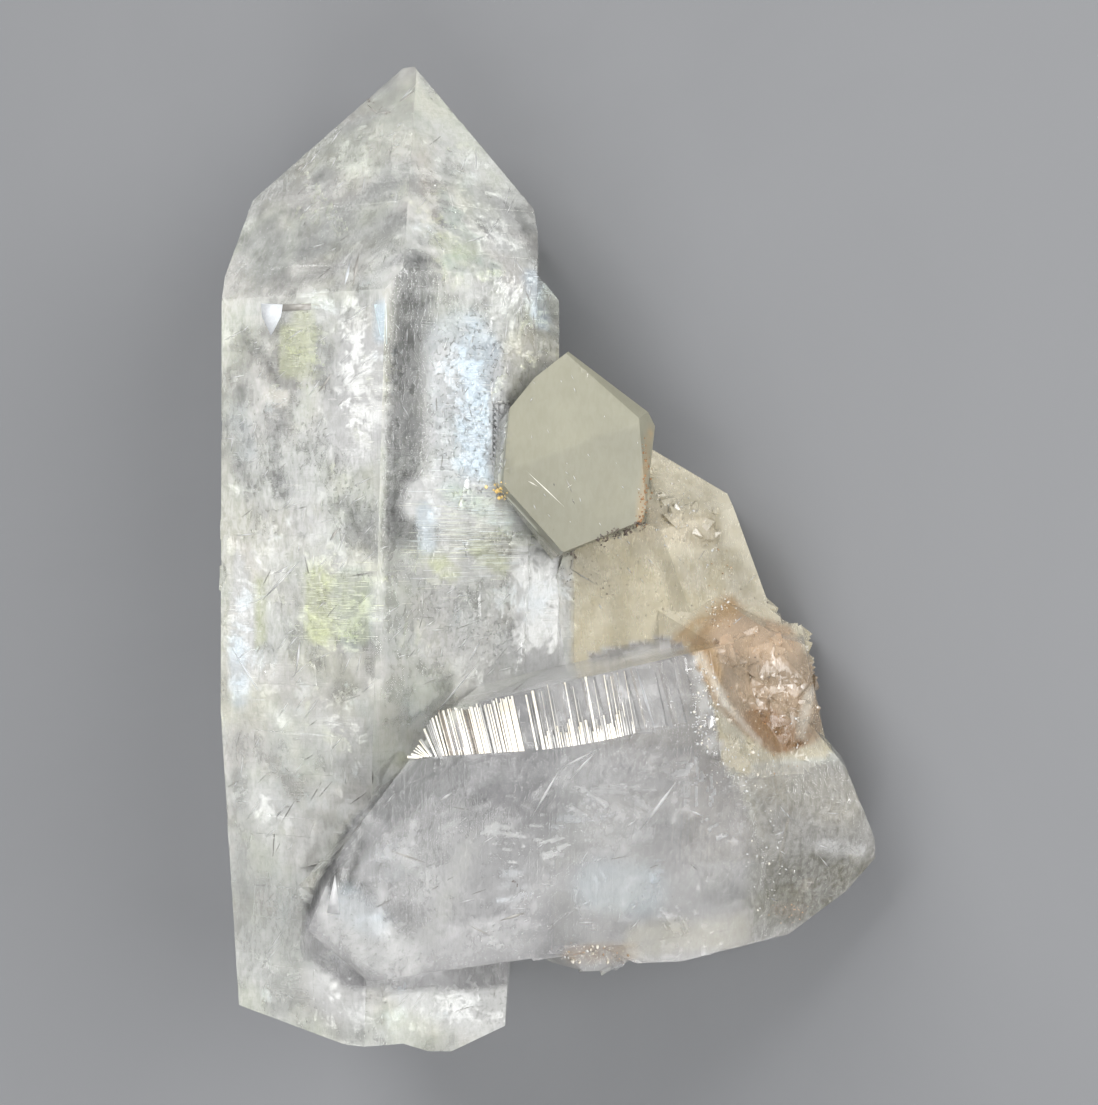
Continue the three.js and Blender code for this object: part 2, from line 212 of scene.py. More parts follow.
class Mixer:
    """A material's tree, with coordinates in growth-frame millimetres."""

    def __init__(self, name):
        self.material = bpy.data.materials.new(name)
        self.material.use_nodes = True
        self.tree = self.material.node_tree
        self.shader = self.tree.nodes["Principled BSDF"]
        coordinates = add_node(self.tree, "ShaderNodeTexCoord")
        back = TURN.transposed() @ -GROWTH_SHIFT
        self.place = add_node(self.tree, "ShaderNodeMapping", {
            "Vector": coordinates.outputs["Object"], "Location": back,
            "Rotation": (0, -REST_TURN, 0), "Scale": (1000, 1000, 1000)}).outputs["Vector"]

    def fibres(self, upright):
        """Coordinates stretched along slanting fibres, or along upright ones where that is 1."""
        ways = [add_node(self.tree, "ShaderNodeMapping", {
            "Vector": self.place, "Rotation": (0, 0, turn), "Scale": (2.0, 0.7, 1.2)}).outputs["Vector"]
            for turn in (0.62, 0.04)]
        return add_node(self.tree, "ShaderNodeMix", {0: upright, 4: ways[0], 5: ways[1]},
                        data_type="VECTOR").outputs[1]

    def use(self, name, **inputs):
        node = add_node(self.tree, "ShaderNodeGroup", node_tree=GROUPS[name])
        if "Vector" in node.inputs:
            self.tree.links.new(self.place, node.inputs["Vector"])
        for label, value in inputs.items():
            if isinstance(value, bpy.types.NodeSocket):
                self.tree.links.new(value, node.inputs[label])
            else:
                node.inputs[label].default_value = value
        return node.outputs[0]

    def painted(self, name, output):
        return add_node(self.tree, "ShaderNodeAttribute", attribute_name=name).outputs[output]

    def scale(self, value, low, high):
        return add_node(self.tree, "ShaderNodeMapRange", {
            "Value": value, "To Min": low, "To Max": high}).outputs["Result"]

    def math(self, operation, a, b):
        return add_node(self.tree, "ShaderNodeMath", {0: a, 1: b}, operation=operation).outputs["Value"]

    def mix(self, factor, a, b, blend="MIX"):
        node = add_node(self.tree, "ShaderNodeMix", data_type="RGBA", blend_type=blend)
        for index, value in ((0, factor), (6, a), (7, b)):
            if isinstance(value, bpy.types.NodeSocket):
                self.tree.links.new(value, node.inputs[index])
            elif index == 0:
                node.inputs[index].default_value = value
            else:
                node.inputs[index].default_value = (*value, 1)
        return node.outputs[2]

    def feed(self, **sockets):
        for label, value in sockets.items():
            socket = self.shader.inputs[label.replace("_", " ")]
            if isinstance(value, bpy.types.NodeSocket):
                self.tree.links.new(value, socket)
            elif isinstance(value, tuple):
                socket.default_value = (*value, 1)
            else:
                socket.default_value = value

    def bump(self, height, distance, strength=1.0):
        node = add_node(self.tree, "ShaderNodeBump", {"Height": height, "Distance": distance * MM,
                                                      "Strength": strength})
        self.tree.links.new(node.outputs["Normal"], self.shader.inputs["Normal"])


def quartz_look(name, settings, transmission, roughness, grain, relief):
    """Quartz in the colours painted on the skin, with finer fibres, pits and growth striations."""
    look = Mixer(name)
    tint = look.painted("tint", "Color")
    fine = look.use("cloud", Vector=look.fibres(look.painted("upright", "Fac")), Scale=1.3, Detail=6.0,
                    Low=0.36, High=0.64)
    pits = look.use("cloud", Scale=2.6, Detail=6.0, Low=0.52, High=0.64)
    amount = look.math("MULTIPLY", look.painted("sparkle", "Fac"), grain)
    hollow = look.math("MULTIPLY", look.math("MULTIPLY", amount, 0.55), look.math("SUBTRACT", 1.0, fine))
    shade = look.mix(hollow, tint, (0.16, 0.16, 0.155))
    shade = look.mix(look.math("MULTIPLY", amount, fine), shade, (1, 1, 1))
    shade = look.mix(look.math("MULTIPLY", look.painted("pitted", "Fac"), pits), shade, (0.2, 0.2, 0.19))
    lines = look.use("striations", Along=look.painted("along", "Fac"), Pitch=0.55)
    height = look.math("ADD", lines, look.scale(fine, 0.0, 0.4))
    look.feed(Base_Color=shade, Roughness=look.scale(fine, *roughness), IOR=settings.ior,
              Transmission_Weight=transmission)
    look.bump(height, relief)
    return look.material


def clear_quartz(settings):
    return quartz_look("clear quartz", settings, 0.68, (0.05, 0.2), 0.42, 0.03)


def satin_quartz(settings):
    return quartz_look("satin end face", settings, 0.3, (0.31, 0.35), 0.1, 0.002)


def milky_quartz(settings):
    return quartz_look("milky quartz", settings, 0.55, (0.1, 0.3), 0.2, 0.012)


def plain_look(name, tint, other, roughness, transmission=0.0, scale=0.8, **more):
    """A material that drifts between two colours."""
    look = Mixer(name)
    cloud = look.use("cloud", Scale=scale, Low=0.3, High=0.7)
    look.feed(Base_Color=look.mix(cloud, tint, other),
              Roughness=look.scale(cloud, roughness, roughness + 0.15),
              Transmission_Weight=transmission, IOR=QUARTZ_IOR, **more)
    return look.material


# Meshes

def mesh_piece(name, points, faces, materials, indices=None):
    """One object from row-frame points in metres and triangles or quads."""
    faces = np.asarray(faces, np.int32)
    mesh = bpy.data.meshes.new(name)
    mesh.vertices.add(len(points))
    mesh.vertices.foreach_set("co", np.asarray(points, np.float32).ravel())
    sides = faces.shape[1]
    mesh.loops.add(faces.size)
    mesh.loops.foreach_set("vertex_index", faces.ravel())
    mesh.polygons.add(len(faces))
    mesh.polygons.foreach_set("loop_start", np.arange(0, faces.size, sides, dtype=np.int32))
    for material in materials:
        mesh.materials.append(material)
    if indices is not None:
        mesh.polygons.foreach_set("material_index", np.asarray(indices, np.int32))
    mesh.update(calc_edges=True)
    piece = bpy.data.objects.new(name, mesh)
    bpy.context.scene.collection.objects.link(piece)
    return piece


def activate(piece):
    if bpy.context.object and bpy.context.object.mode != "OBJECT":
        bpy.ops.object.mode_set(mode="OBJECT")
    bpy.ops.object.select_all(action="DESELECT")
    piece.select_set(True)
    bpy.context.view_layer.objects.active = piece


def finished(piece):
    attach(piece, BODY)
    return piece


def scattered(name, shape, faces, looks, centres, frames, sizes, tones):
    """One piece of many copies of a small shape. A copy has its centre, a frame of three axes, a
    length along each of them, and the number of its look as its tone."""
    centres, frames, sizes = np.array(centres), np.array(frames), np.array(sizes)
    points = np.einsum("kj,nj,nji->nki", shape, sizes, frames) + centres[:, None, :]
    copies = faces[None] + np.arange(len(centres))[:, None, None] * len(shape)
    return finished(mesh_piece(name, placed_all(points.reshape(-1, 3)), copies.reshape(-1, faces.shape[1]),
                               looks, np.repeat(tones, len(faces))))


FLAKE = np.array([(-0.5, -0.3, 0.0), (0.5, -0.2, 0.0), (0.0, 0.5, 0.0), (0.0, 0.0, 0.12)])
FLAKE_FACES = np.array([(0, 2, 1), (0, 1, 3), (1, 2, 3), (2, 0, 3)])


def random_frames(random, normals, spread):
    """Three axes for each normal, the normal last, turned at random about it and tipped by spread."""
    normals = unit(normals + spread * random.normal(size=normals.shape))
    helper = random.normal(size=normals.shape)
    first = unit(np.cross(normals, helper))
    second = np.cross(normals, first)
    return np.stack([first, second, normals], axis=1)


class Inside:
    """Tells how deep points lie under the skin, in millimetres, in the growth frame."""

    def __init__(self, solid):
        mesh = solid.data
        points = [v.co / MM for v in mesh.vertices]
        self.tree = BVHTree.FromPolygons(points, [tuple(p.vertices) for p in mesh.polygons])

    def depth(self, points):
        rows = placed_all(points) / MM
        depths = np.empty(len(rows))
        for index, row in enumerate(rows):
            near, normal, _, gap = self.tree.find_nearest(Vector(row))
            depths[index] = gap if (near - Vector(row)).dot(normal) > 0 else -gap
        return depths


def cloudiness(points, scale, seed):
    """Turbulence from about 0 to 1 at growth-frame points."""
    offset = Vector((seed * 7.3, seed * 3.1, seed * 5.7))
    return np.array([noise.fractal(Vector(p) * scale + offset, 0.9, 2.1, 4) for p in points]) * 0.8 + 0.5


# Skin

class QUARTZ_OT_skin(bpy.types.Operator):
    """Copy the solid, refine it, round its worn edges and paint it with the quartz's clouding, painted
    shade and painted reflections
    """

    bl_idname = "quartz.skin"
    bl_label = "Glassy skin"

    def execute(self, context):
        settings = context.scene.quartz_skin
        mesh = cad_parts[SOLID].data.copy()
        mesh.materials.clear()
        skin = bpy.data.objects.new("cluster_skin", mesh)
        context.scene.collection.objects.link(skin)
        activate(skin)
        bpy.ops.object.mode_set(mode="EDIT")
        bpy.ops.mesh.select_all(action="SELECT")
        bpy.ops.mesh.remove_doubles(threshold=0.002 * MM)
        refine(mesh, settings.cell)
        wear_edges(mesh, settings.wear * MM)
        bpy.ops.object.mode_set(mode="OBJECT")
        for build in (clear_quartz, satin_quartz, milky_quartz):
            mesh.materials.append(build(settings))
        centres = grown_all(np.array([p.center for p in mesh.polygons]))
        mesh.polygons.foreach_set("material_index", finish_of(centres))
        mesh.polygons.foreach_set("use_smooth", np.zeros(len(mesh.polygons), bool))
        flat = np.empty(len(mesh.vertices) * 3, np.float32)
        mesh.vertices.foreach_get("co", flat)
        sides, layers = painting(grown_all(flat.reshape(-1, 3).astype(float)))
        corners = np.empty(len(mesh.loops), np.int32)
        mesh.loops.foreach_get("vertex_index", corners)
        # Each face takes its colours from one painted side: left or right, prism or end. The left end faces
        # take a darker side, which is painted shade
        facing = np.array([p.normal for p in mesh.polygons]) @ np.array(TURN)
        side = np.repeat((facing[:, 0] > 0.12) + 2 * (facing[:, 1] > 0.3), 3)
        tint = np.stack(sides)[side, corners]
        layer = mesh.color_attributes.new("tint", "FLOAT_COLOR", "CORNER")
        layer.data.foreach_set("color", np.c_[tint, np.ones(len(tint))].astype(np.float32).ravel())
        for name, values in layers.items():
            layer = mesh.attributes.new(name, "FLOAT", "POINT")
            layer.data.foreach_set("value", values.astype(np.float32))
        mesh.update()
        finished(skin)
        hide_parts(SOLID)
        return {"FINISHED"}


def refine(mesh, cell):
    """Cuts flat faces into a fine grid, so that colours can be painted on their points."""
    grid = bmesh.from_edit_mesh(mesh)
    bmesh.ops.dissolve_limit(grid, angle_limit=math.radians(0.4), verts=grid.verts, edges=grid.edges,
                             delimit={"NORMAL"})
    points = grown_all(np.array([v.co for v in grid.verts]))
    for axis, step in ((0, cell), (1, cell), (2, 2 * cell)):
        direction = TURN @ Vector([float(axis == k) for k in range(3)])
        for reach in np.arange(points[:, axis].min() + step / 2, points[:, axis].max(), step):
            middle = placed([reach * (axis == k) for k in range(3)])
            parts = [*grid.verts, *grid.edges, *grid.faces]
            bmesh.ops.bisect_plane(grid, geom=parts, dist=1e-6, plane_co=middle, plane_no=direction)
    bmesh.ops.triangulate(grid, faces=grid.faces)
    bmesh.update_edit_mesh(mesh)


# Angles between two faces, in radians, whose edge wears down
WORN_ANGLES = (0.47, 1.3)


def wear_edges(mesh, depth):
    """Moves the vertices of outward edges in by uneven amounts. The milky crystals, the tall
    point's front edge and the bottom keep their edges."""
    grid = bmesh.from_edit_mesh(mesh)
    moves = []
    for vertex in grid.verts:
        x, y, z = grown_all(np.array(vertex.co))
        milky = x > 4 and y > -9
        front_edge = abs(x + 15.9) < 1.4 and y > -25 and z > 9
        if vertex.co.z < 0.4 * MM or milky or front_edge:
            continue
        sharp = [e for e in vertex.link_edges if len(e.link_faces) == 2 and e.is_convex
                 and WORN_ANGLES[0] < e.calc_face_angle(0) < WORN_ANGLES[1]]
        if sharp:
            amount = 0.35 + 0.9 * abs(noise.noise(vertex.co / MM * 0.45))
            moves.append((vertex, vertex.normal * -depth * amount))
    for vertex, move in moves:
        vertex.co += move
    bmesh.update_edit_mesh(mesh)


def finish_of(centres):
    """Finish of the skin at each growth-frame point."""
    x, y, z = centres.T
    px, py = pictured(centres)
    finish = np.full(len(centres), CLEAR, np.int32)
    behind = (x > 2.3) & (y > -14) | (x > 11.5) & (z < 9) & (y > -27)
    stained_lump = (x > 14) & (y > -20.5) & (y < -5) & (z > 10) & ((x - 21) ** 2 + (y + 12.5) ** 2 < 70)
    finish[behind | stained_lump] = MILKY
    finish[(within(px, py, SECOND, 1) > 0.5) & (z > SECOND_HEIGHT)] = CLEAR
    end_face = (within(px, py, END_FACE, 1) > 0.5) & (y > -0.9) & (y < 19.6) & (0.5 * x + 0.866 * z > 9.4)
    finish[end_face & (z > 7 + 4 * (y < 5))] = SATIN
    return finish


# Painting

def smooth(value):
    value = np.clip(value, 0, 1)
    return value * value * (3 - 2 * value)


# Random values along each side of the repeating lattice that lumps are made from
LATTICE = 32


def lumps(points, size, seed, octaves=4, gain=0.55):
    """Layered random lumps, about 0 to 1 and 0.5 on the mean, at growth-frame points."""
    random = np.random.default_rng(seed)
    total, weight, amount = 0.0, 0.0, 1.0
    for _ in range(octaves):
        turn, _ = np.linalg.qr(random.normal(size=(3, 3)))
        grid = random.uniform(size=(LATTICE, LATTICE, LATTICE))
        place = points @ turn / size + random.uniform(0, LATTICE, 3)
        cell = np.floor(place).astype(int)
        part = smooth(place - cell)
        value = 0.0
        for corner in np.ndindex(2, 2, 2):
            near = (cell + corner) % LATTICE
            share = np.prod(np.where(corner, part, 1 - part), axis=1)
            value = value + share * grid[near[:, 0], near[:, 1], near[:, 2]]
        total = total + amount * value
        weight += amount
        amount *= gain
        size /= 2
    return (total / weight - 0.5) * 1.7 + 0.5


def slanted(points, degrees, stretch):
    """Points turned about +Z and squeezed, so that lumps made on them run long one way."""
    return points @ np.array(Matrix.Rotation(math.radians(degrees), 3, "Z")) * (1, 1 / stretch, 1)


def crisp(value, width):
    return smooth((value - 0.5) / width + 0.5)


def hairs(points, size, seed, width=0.05, octaves=2):
    """Thin wandering lines, 1 on the line."""
    return smooth(1 - np.abs(lumps(points, size, seed, octaves) - 0.5) / width)


def stroke(px, py, start, stop, width, soft):
    """1 within a width of the line between two picture points, fading over a softness."""
    start, stop = np.array(start, float), np.array(stop, float)
    run = stop - start
    share = ((px - start[0]) * run[0] + (py - start[1]) * run[1]) / max(run @ run, 1e-9)
    share = np.clip(share, 0, 1)
    gap = np.hypot(px - start[0] - share * run[0], py - start[1] - share * run[1])
    return smooth((width - gap) / soft + 0.5)


def within(px, py, corners, soft):
    """1 inside an outline in the picture, fading over a softness at its edge."""
    inside = np.zeros(len(px), bool)
    gap = np.full(len(px), 1e9)
    for (ax, ay), (bx, by) in zip(corners, corners[1:] + corners[:1]):
        crosses = (ay > py) != (by > py)
        inside ^= crosses & (px < ax + (bx - ax) * (py - ay) / (by - ay if by != ay else 1e-9))
        run = np.array((bx - ax, by - ay), float)
        share = np.clip(((px - ax) * run[0] + (py - ay) * run[1]) / (run @ run), 0, 1)
        gap = np.minimum(gap, np.hypot(px - ax - share * run[0], py - ay - share * run[1]))
    return smooth(np.where(inside, gap, -gap) / soft + 0.5)


# snow stands for a painted bluish-white highlight, and straw and mint for painted greenish-yellow
# reflections
COLOURS = {
    "frost": (0.985, 0.965, 0.905), "white": (0.985, 0.985, 0.97), "snow": (0.8, 0.9, 0.97),
    "mint": (0.72, 0.88, 0.76), "straw": (0.78, 0.82, 0.52), "cream": (0.94, 0.9, 0.8),
    "peach": (0.7, 0.52, 0.36), "smoke": (0.2, 0.205, 0.2), "slate": (0.06, 0.06, 0.055),
    "olive": (0.25, 0.242, 0.18), "pale lilac": (0.8, 0.79, 0.795), "tan": (0.46, 0.3, 0.14),
    "mauve": (0.385, 0.295, 0.205), "rust": (0.27, 0.12, 0.03), "milky": (0.62, 0.56, 0.4),
    "pale milky": (0.8, 0.75, 0.6), "pocket": (0.145, 0.135, 0.08), "grey": (0.56, 0.545, 0.505),
}

# Outlines of the parts in the picture
TIP_LEFT = [(412, 50), (200, 290), (278, 302), (388, 297), (405, 290), (422, 244), (424, 152)]
TIP_RIGHT = [(412, 50), (424, 152), (422, 244), (418, 265), (570, 280), (560, 150)]
SECOND = [
    (564, 661), (600, 650), (664, 636), (690, 648), (712, 700), (722, 760), (745, 800), (765, 860),
    (765, 960), (619, 970), (479, 990), (349, 990), (300, 950), (305, 905), (350, 819), (414, 759),
    (480, 700),
]
STAIN = [
    (690, 640), (710, 616), (730, 596), (745, 612), (790, 625), (830, 690), (820, 740), (775, 756),
    (760, 745), (735, 725), (715, 705), (697, 680),
]
END_FACE = [
    (568, 345), (660, 416), (652, 470), (645, 524), (561, 558), (498, 486), (508, 410), (530, 378),
]
# The upper plane of the creased end face, painted lighter: painted light across the crease
END_FACE_LIT_TOP = [
    (560, 347), (643, 422), (643, 425), (596, 436), (516, 469), (505, 450), (510, 400), (531, 384),
]

# Outline of the painted shade on the right prism face along the central edge, where lumps and sparkle are
# calmed
DARK_STRIP = [
    (388, 300), (418, 262), (452, 266), (446, 360), (424, 420), (430, 530), (440, 600), (404, 640),
    (388, 640),
]

# Pitted patches: start, stop, width, softness and amount
PITTED = [
    ((468, 345), (474, 480), 36, 14, 0.6), ((440, 400), (444, 460), 20, 14, 0.5),
    ((350, 500), (370, 530), 26, 20, 0.5), ((300, 420), (330, 460), 20, 20, 0.4),
    ((430, 600), (490, 640), 24, 24, 0.4), ((345, 935), (400, 955), 24, 20, 0.3),
    ((790, 885), (840, 880), 30, 20, 0.6), ((460, 990), (490, 1000), 30, 20, 0.3),
]

# Colour, start, stop, width, softness, strength, graininess
# On the tall point the snow, straw and mint strokes and the cream strokes of its left face are painted
# reflections off its striations
LEFT_STROKES = [
    ("smoke", (330, 180), (400, 120), 60, 60, 0.22, 0.3),
    ("smoke", (262, 255), (330, 240), 34, 24, 0.35, 0.6),
    ("white", (350, 270), (395, 262), 16, 14, 0.5, 0.7),
    ("white", (240, 262), (262, 275), 8, 8, 0.4, 0.8),
    ("white", (362, 360), (354, 440), 28, 14, 0.95, 0.15),
    ("white", (340, 375), (330, 400), 14, 12, 0.6, 0.5),
    ("smoke", (240, 450), (300, 450), 26, 30, 0.26, 0.3),
    ("smoke", (320, 480), (370, 525), 26, 30, 0.26, 0.4),
    ("smoke", (250, 880), (300, 930), 30, 40, 0.4, 0.2),
    ("smoke", (240, 740), (340, 760), 20, 24, 0.22, 0.3),
    ("smoke", (240, 900), (300, 980), 24, 30, 0.16, 0.2),
    ("white", (330, 318), (372, 340), 16, 16, 0.6, 0.4),
    ("white", (300, 500), (320, 545), 14, 16, 0.5, 0.7),
    ("slate", (292, 430), (300, 436), 3, 3, 0.5, 0.5),
    ("slate", (318, 374), (332, 384), 6, 6, 0.35, 0.9),
    ("white", (320, 730), (370, 760), 24, 30, 0.5, 0.3),
    ("white", (380, 300), (378, 560), 5, 5, 0.35, 0.7),
    ("snow", (381, 304), (380, 336), 6, 4, 0.9, 0.0), ("straw", (287, 330), (287, 372), 7, 3, 0.8, 0.2),
    ("straw", (300, 316), (300, 372), 8, 3, 0.7, 0.2),
    ("straw", (310, 318), (310, 370), 6, 3, 0.55, 0.3),
    ("olive", (284, 330), (286, 372), 8, 8, 0.3, 0.6),
    ("olive", (268, 378), (296, 382), 8, 7, 0.4, 0.6),
    ("cream", (268, 397), (282, 397), 8, 4, 0.9, 0.0),
    ("white", (330, 326), (350, 330), 16, 14, 0.4, 0.8),
    ("smoke", (318, 372), (332, 392), 10, 8, 0.5, 0.8),
    ("smoke", (270, 412), (282, 432), 10, 8, 0.55, 0.7),
    ("slate", (322, 448), (338, 458), 10, 8, 0.45, 0.9),
    ("smoke", (272, 470), (286, 484), 10, 6, 0.6, 0.4),
    ("smoke", (340, 490), (368, 540), 22, 18, 0.4, 0.9),
    ("smoke", (292, 500), (300, 530), 9, 8, 0.4, 0.8),
    ("snow", (238, 415), (246, 450), 10, 10, 0.35, 0.5),
    ("smoke", (238, 380), (244, 392), 6, 6, 0.4, 0.7),
    ("white", (300, 470), (330, 560), 12, 14, 0.5, 0.9),
    ("white", (246, 560), (240, 680), 13, 8, 0.9, 0.1),
    ("cream", (232, 541), (246, 548), 4, 4, 1.0, 0.0),
    ("cream", (246, 550), (257, 578), 5, 4, 1.0, 0.0),
    ("straw", (259, 580), (260, 640), 5, 5, 0.9, 0.1), ("snow", (236, 640), (240, 700), 8, 8, 0.7, 0.3),
    ("straw", (317, 580), (318, 630), 14, 4, 0.85, 0.15),
    ("mint", (352, 582), (354, 630), 18, 4, 0.4, 0.3),
    ("straw", (338, 578), (338, 634), 7, 3, 0.5, 0.3),
    ("straw", (350, 578), (350, 634), 7, 3, 0.5, 0.3),
    ("straw", (362, 582), (362, 636), 7, 3, 0.5, 0.3),
    ("slate", (275, 425), (279, 495), 6, 8, 0.6, 0.8),
    ("slate", (240, 468), (254, 500), 7, 8, 0.5, 0.8),
    ("olive", (262, 440), (266, 470), 5, 6, 0.3, 0.8),
    ("olive", (340, 574), (366, 576), 5, 4, 0.3, 0.3),
    ("white", (262, 808), (290, 838), 24, 20, 0.6, 0.4),
    ("smoke", (240, 720), (244, 980), 8, 10, 0.3, 0.5),
    ("smoke", (340, 770), (366, 790), 16, 16, 0.25, 0.8),
    ("smoke", (330, 950), (410, 1000), 30, 24, 0.25, 0.6),
    ("white", (350, 980), (505, 1006), 44, 26, 0.85, 0.2),
    ("grey", (320, 800), (330, 900), 50, 60, 0.25, 0.5),
    ("smoke", (236, 330), (240, 430), 7, 8, 0.3, 0.7),
    ("smoke", (225, 1000), (290, 1010), 30, 30, 0.25, 0.5),
]
RIGHT_STROKES = [
    ("tan", (572, 954), (630, 952), 9, 6, 0.45, 0.4), ("cream", (585, 950), (600, 958), 5, 4, 0.5, 0.4),
    # The smoke and slate strokes that run down the central edge, between 390 and 430 across, paint shade on
    # the right prism face
    ("smoke", (412, 268), (400, 530), 17, 12, 0.94, 0.2),
    ("smoke", (428, 280), (416, 520), 24, 34, 0.6, 0.4),
    ("slate", (422, 274), (416, 392), 20, 16, 0.6, 0.8),
    ("slate", (403, 296), (402, 425), 12, 8, 0.55, 0.6),
    ("smoke", (400, 540), (398, 690), 14, 14, 0.4, 0.3),
    ("white", (455, 560), (500, 680), 34, 30, 0.4, 0.4),
    ("white", (425, 975), (505, 1006), 40, 20, 0.9, 0.1),
    ("slate", (404, 482), (400, 522), 16, 8, 0.75, 0.35),
    ("slate", (400, 424), (404, 448), 11, 9, 0.6, 0.5),
    ("slate", (412, 270), (420, 300), 12, 12, 0.4, 0.6),
    ("slate", (392, 300), (390, 640), 5, 5, 0.4, 0.4),
    ("white", (470, 345), (480, 470), 24, 14, 0.75, 0.7),
    ("snow", (462, 345), (468, 480), 34, 16, 0.85, 0.45),
    ("snow", (478, 352), (484, 470), 22, 8, 0.95, 0.05),
    ("white", (436, 350), (440, 470), 14, 14, 0.7, 0.6),
    ("white", (500, 370), (498, 470), 8, 6, 0.9, 0.3),
    ("white", (445, 330), (452, 400), 12, 12, 0.5, 0.8),
    ("snow", (530, 276), (543, 322), 8, 6, 0.85, 0.4),
    ("mint", (452, 262), (492, 270), 10, 8, 0.5, 0.7),
    ("white", (470, 285), (515, 300), 12, 10, 0.5, 0.8),
    ("milky", (522, 342), (550, 350), 16, 6, 0.4, 0.3),
    ("white", (496, 366), (508, 388), 7, 6, 0.7, 0.8),
    ("white", (425, 500), (515, 505), 24, 14, 0.85, 0.4),
    ("snow", (424, 510), (428, 545), 8, 6, 0.8, 0.4), ("straw", (436, 560), (452, 572), 9, 6, 0.8, 0.5),
    ("straw", (478, 548), (502, 566), 9, 7, 0.6, 0.6),
    ("mint", (450, 490), (505, 520), 10, 8, 0.5, 0.7),
    ("white", (540, 566), (544, 655), 28, 14, 0.95, 0.05),
    ("smoke", (440, 610), (480, 640), 22, 24, 0.3, 0.9),
    ("smoke", (400, 720), (430, 700), 22, 20, 0.4, 0.8),
    ("mint", (450, 165), (470, 255), 16, 14, 0.4, 0.9),
    ("white", (455, 150), (500, 230), 18, 16, 0.45, 0.8),
    ("straw", (440, 240), (470, 250), 10, 8, 0.4, 0.8),
    ("peach", (425, 160), (432, 215), 8, 10, 0.2, 0.6),
]
SECOND_STROKES = [
    # The first white stroke paints a reflection: the light strip of flashing striations at the top of the
    # second point
    ("white", (628, 656), (666, 648), 5, 4, 0.9, 0.3), ("tan", (572, 954), (630, 952), 9, 6, 0.45, 0.4),
    ("smoke", (390, 800), (445, 770), 26, 14, 0.5, 0.15),
    ("smoke", (350, 870), (420, 850), 30, 30, 0.25, 0.4),
    ("slate", (348, 818), (308, 908), 6, 5, 0.9, 0.1),
    ("slate", (362, 826), (347, 890), 5, 4, 0.8, 0.15),
    ("slate", (337, 872), (332, 894), 5, 4, 0.8, 0.1),
    ("white", (368, 815), (336, 892), 3, 5, 0.5, 0.1),
    ("white", (326, 890), (324, 915), 5, 5, 0.8, 0.1),
    ("white", (345, 925), (400, 955), 24, 16, 0.7, 0.5),
    ("white", (470, 872), (600, 858), 40, 50, 0.28, 0.15),
    ("white", (380, 948), (520, 935), 20, 26, 0.35, 0.4),
    ("snow", (345, 900), (372, 920), 16, 14, 0.5, 0.5),
    ("snow", (600, 884), (640, 890), 26, 24, 0.4, 0.1),
    ("white", (700, 662), (712, 745), 8, 6, 0.7, 0.8),
    ("white", (733, 768), (754, 804), 7, 6, 0.6, 0.9),
    ("smoke", (620, 700), (690, 720), 40, 30, 0.2, 0.2),
    ("smoke", (560, 790), (620, 800), 40, 40, 0.15, 0.3),
    ("white", (430, 880), (520, 860), 40, 40, 0.2, 0.5),
    ("pale milky", (640, 940), (740, 930), 16, 16, 0.4, 0.3),
    ("white", (752, 860), (758, 900), 4, 4, 0.6, 0.7),
]
BACK_STROKES = [
    ("pale milky", (720, 480), (790, 620), 16, 20, 0.7, 0.3),
    ("milky", (640, 590), (690, 640), 40, 40, 0.4, 0.3),
    ("pale milky", (676, 480), (690, 540), 20, 20, 0.6, 0.8),
    ("peach", (640, 520), (700, 530), 18, 18, 0.15, 0.3),
    ("tan", (690, 640), (728, 612), 16, 12, 0.8, 0.5), ("tan", (700, 668), (712, 690), 10, 9, 0.6, 0.4),
]
STAIN_STROKES = [
    ("tan", (702, 638), (712, 676), 11, 8, 0.85, 0.3),
    ("tan", (714, 622), (732, 606), 12, 10, 0.7, 0.5),
    ("peach", (728, 636), (785, 645), 18, 16, 0.75, 0.2),
    ("rust", (704, 650), (712, 672), 5, 5, 0.35, 0.5),
    ("rust", (762, 724), (788, 742), 18, 12, 0.8, 0.4),
    ("rust", (742, 716), (756, 736), 7, 8, 0.5, 0.6), ("cream", (700, 655), (725, 702), 4, 4, 0.6, 0.2),
    ("cream", (725, 702), (760, 742), 3, 4, 0.5, 0.2),
    ("peach", (745, 690), (790, 700), 12, 12, 0.4, 0.3),
    ("cream", (810, 690), (800, 735), 5, 5, 0.5, 0.3),
]
LUMP_STROKES = [
    ("pocket", (775, 888), (848, 880), 32, 20, 0.85, 0.4),
    ("white", (820, 845), (860, 850), 7, 6, 0.6, 0.3),
    ("rust", (776, 908), (800, 910), 6, 8, 0.35, 0.5),
    ("pale milky", (770, 770), (840, 800), 26, 24, 0.3, 0.3),
    ("olive", (725, 925), (790, 905), 18, 20, 0.25, 0.3),
]
FACE_STROKES = [("tan", (650, 430), (640, 522), 3, 4, 0.5, 0.4)]


def brushed(tint, px, py, strokes, grain):
    """Colours with strokes brushed over them, one after another."""
    for colour, start, stop, width, soft, strength, graininess in strokes:
        share = strength * stroke(px, py, start, stop, width, soft) * (1 - graininess + graininess * grain)
        tint = tint + (np.array(COLOURS[colour]) - tint) * share[:, None]
    return tint


def shaded(value, colour):
    return value[:, None] * np.array(COLOURS[colour])


